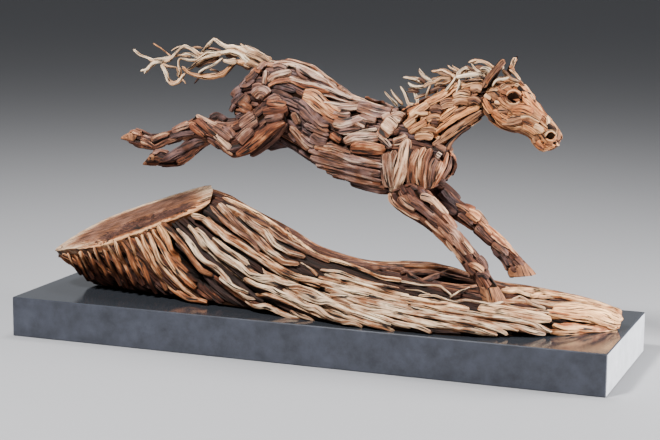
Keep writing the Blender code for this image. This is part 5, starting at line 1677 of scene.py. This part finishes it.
class HORSE_OT_head(bpy.types.Operator):
    """Builds the head, with its eye and nostril hollows, and the ears"""

    bl_idname = "horse.head"
    bl_label = "Head"

    def execute(self, context):
        core("head", HEAD_CORE_DEPTH)
        wood = Wood()
        tree = surface("head")
        head = [spot(x, z) for x, z in HEAD_AXIS]
        hollows = []
        for pixel, radius in (EYE, NOSTRIL):
            place = seen(tree, pixel)
            hollows += [(place, radius * PIXEL), (mirror(place), radius * PIXEL)]
        self.line_hollows(tree, hollows)
        thatch(
            wood, tree, head, rows=22, length=0.045, thick=0.003, seed=7, width_share=1.6,
            lift=-0.0025, hues=(0.5, 1.0), tones=(0.35, 0.85), clear=hollows)
        rims = [
            (arc(hollow[0], hollow[1] + beyond, *turns), wide, tone, hue)
            for hollow, beyond, turns, wide, tone, hue in HOLLOW_RIMS]
        for mirrored in (False, True):
            lay_pieces(
                wood, tree, HEAD_PIECES, 31 + mirrored, mirrored, lift=0.0, rise_share=0.16,
                knots=0.02, clear=hollows)
            lay_pieces(wood, tree, rims, 33, mirrored, lift=0.001, rise_share=0.4, knots=0.02)
        wood.done("head_driftwood", MATERIALS["head"], "tan_driftwood")
        for side, pieces in (("right", RIGHT_EAR_PIECES), ("left", LEFT_EAR_PIECES)):
            node = f"{side}_ear"
            core(node, EAR_CORE_DEPTH)
            wood = Wood()
            lay_pieces(wood, surface(node), pieces, 35, lift=0.0)
            wood.done(f"{node}_driftwood", MATERIALS["head"], "tan_driftwood")
        return {"FINISHED"}

    def line_hollows(self, tree, hollows):
        """Lines each hollow with a shallow bowl in painted shade that hides the core's edge."""
        form = bmesh.new()
        for middle, radius in hollows:
            normal = tree.find_nearest(middle)[1]
            side = Vector((0, -1, 0)) if middle.y < 0 else Vector((0, 1, 0))
            turn = (normal + side).to_track_quat("Z", "Y").to_matrix().to_4x4()
            bowl = Matrix.Translation(middle) @ turn @ Matrix.Diagonal((radius, radius, BOWL_DEPTH, 1))
            bmesh.ops.create_uvsphere(form, u_segments=28, v_segments=12, radius=1.0, matrix=bowl)
        finish_piece("hollow_shade_linings", form, MATERIALS["core"])


class HORSE_OT_legs(bpy.types.Operator):
    """Bundles slim pieces round each leg, down to its hoof"""

    bl_idname = "horse.legs"
    bl_label = "Legs"

    def execute(self, context):
        for index, (node, axis) in enumerate(LEG_AXES.items()):
            core(node, LEG_CORE_DEPTH)
            wood = Wood()
            left = leg_offset(node)
            line = [spot(x, z, left) for x, z in axis]
            rows = 13 if "thigh" in node or "gaskin" in node or node.endswith("forearm") else 9
            side, part = node.split("_", 1)
            whole = ("forearm", "fore_cannon", "fore_hoof") if "fore" in part else (
                "thigh", "gaskin", "hind_cannon", "hind_hoof")
            tree = surface(*(f"{side}_{name}" for name in whole))
            # The far legs, except their cannons, take darker chips: painted shade
            tones = (0.0, 0.35) if node.startswith("left") and "cannon" not in node else (0.1, 0.6)
            thatch(
                wood, tree, line, rows, length=0.055, thick=0.005, seed=30 + index, lift=-0.004,
                reach=0.1, hues=(0.3, 0.9), tones=tones, overrun=0.07)
            lay_pieces(wood, tree, LEG_PIECES.get(node, ()), 60 + index, lift=0.0005)
            replaced = ()
            if node.endswith("thigh"):
                replaced = tuple(name for name in laid_nodes(("thigh",)) if name.startswith(side))
            wood.done(f"{node}_driftwood", MATERIALS["legs"], "russet_driftwood", replaced)
        for node in HOOVES:
            carved(f"{node}_worn", node, MATERIALS["hooves"], 0.6, 0.8)
        return {"FINISHED"}


class HORSE_OT_mane_and_tail(bpy.types.Operator):
    """Grows the twigs of the mane and the branching tail"""

    bl_idname = "horse.mane_and_tail"
    bl_label = "Mane and tail"

    def execute(self, context):
        chance = random.Random(51)
        wood = Wood()
        for twig in TAIL_TWIGS:
            branch(wood, *twig, chance)
        wood.done("tail_branches", MATERIALS["twigs"], "straw_twigs", ("tail",))
        wood = Wood()
        for twig in MANE_TWIGS:
            branch(wood, *twig, chance)
        for twig in MANE_TWIGS[:-4]:
            branch(wood, *twig, chance, mirrored=True)
        wood.done("mane_twigs", MATERIALS["twigs"], "straw_twigs", ("mane",))
        return {"FINISHED"}


class HORSE_PT_panel(bpy.types.Panel):
    """Lists the sculpture's pieces, sizes and colours"""

    bl_idname = "HORSE_PT_panel"
    bl_label = "Driftwood horse"
    bl_space_type = "VIEW_3D"
    bl_region_type = "UI"
    bl_category = "Driftwood"

    def draw(self, context):
        for operator in OPERATORS:
            self.layout.operator(operator.bl_idname)
        for group in (context.scene.horse_sizes, context.scene.horse_colours):
            for key in group.__annotations__:
                self.layout.prop(group, key)


OPERATORS = (
    HORSE_OT_stage,
    HORSE_OT_plinth,
    HORSE_OT_root,
    HORSE_OT_body,
    HORSE_OT_head,
    HORSE_OT_legs,
    HORSE_OT_mane_and_tail,
)
CLASSES = (HorseSizes, HorseColours, *OPERATORS, HORSE_PT_panel)


def register():
    for cls in CLASSES:
        bpy.utils.register_class(cls)
    bpy.types.Scene.horse_sizes = bpy.props.PointerProperty(type=HorseSizes)
    bpy.types.Scene.horse_colours = bpy.props.PointerProperty(type=HorseColours)


def unregister():
    del bpy.types.Scene.horse_sizes
    del bpy.types.Scene.horse_colours
    for cls in reversed(CLASSES):
        bpy.utils.unregister_class(cls)


def main():
    register()
    make_materials()
    bpy.ops.horse.stage()
    bpy.ops.horse.plinth()
    bpy.ops.horse.root()
    bpy.ops.horse.body()
    bpy.ops.horse.head()
    bpy.ops.horse.legs()
    bpy.ops.horse.mane_and_tail()


if __name__ == "__main__":
    main()
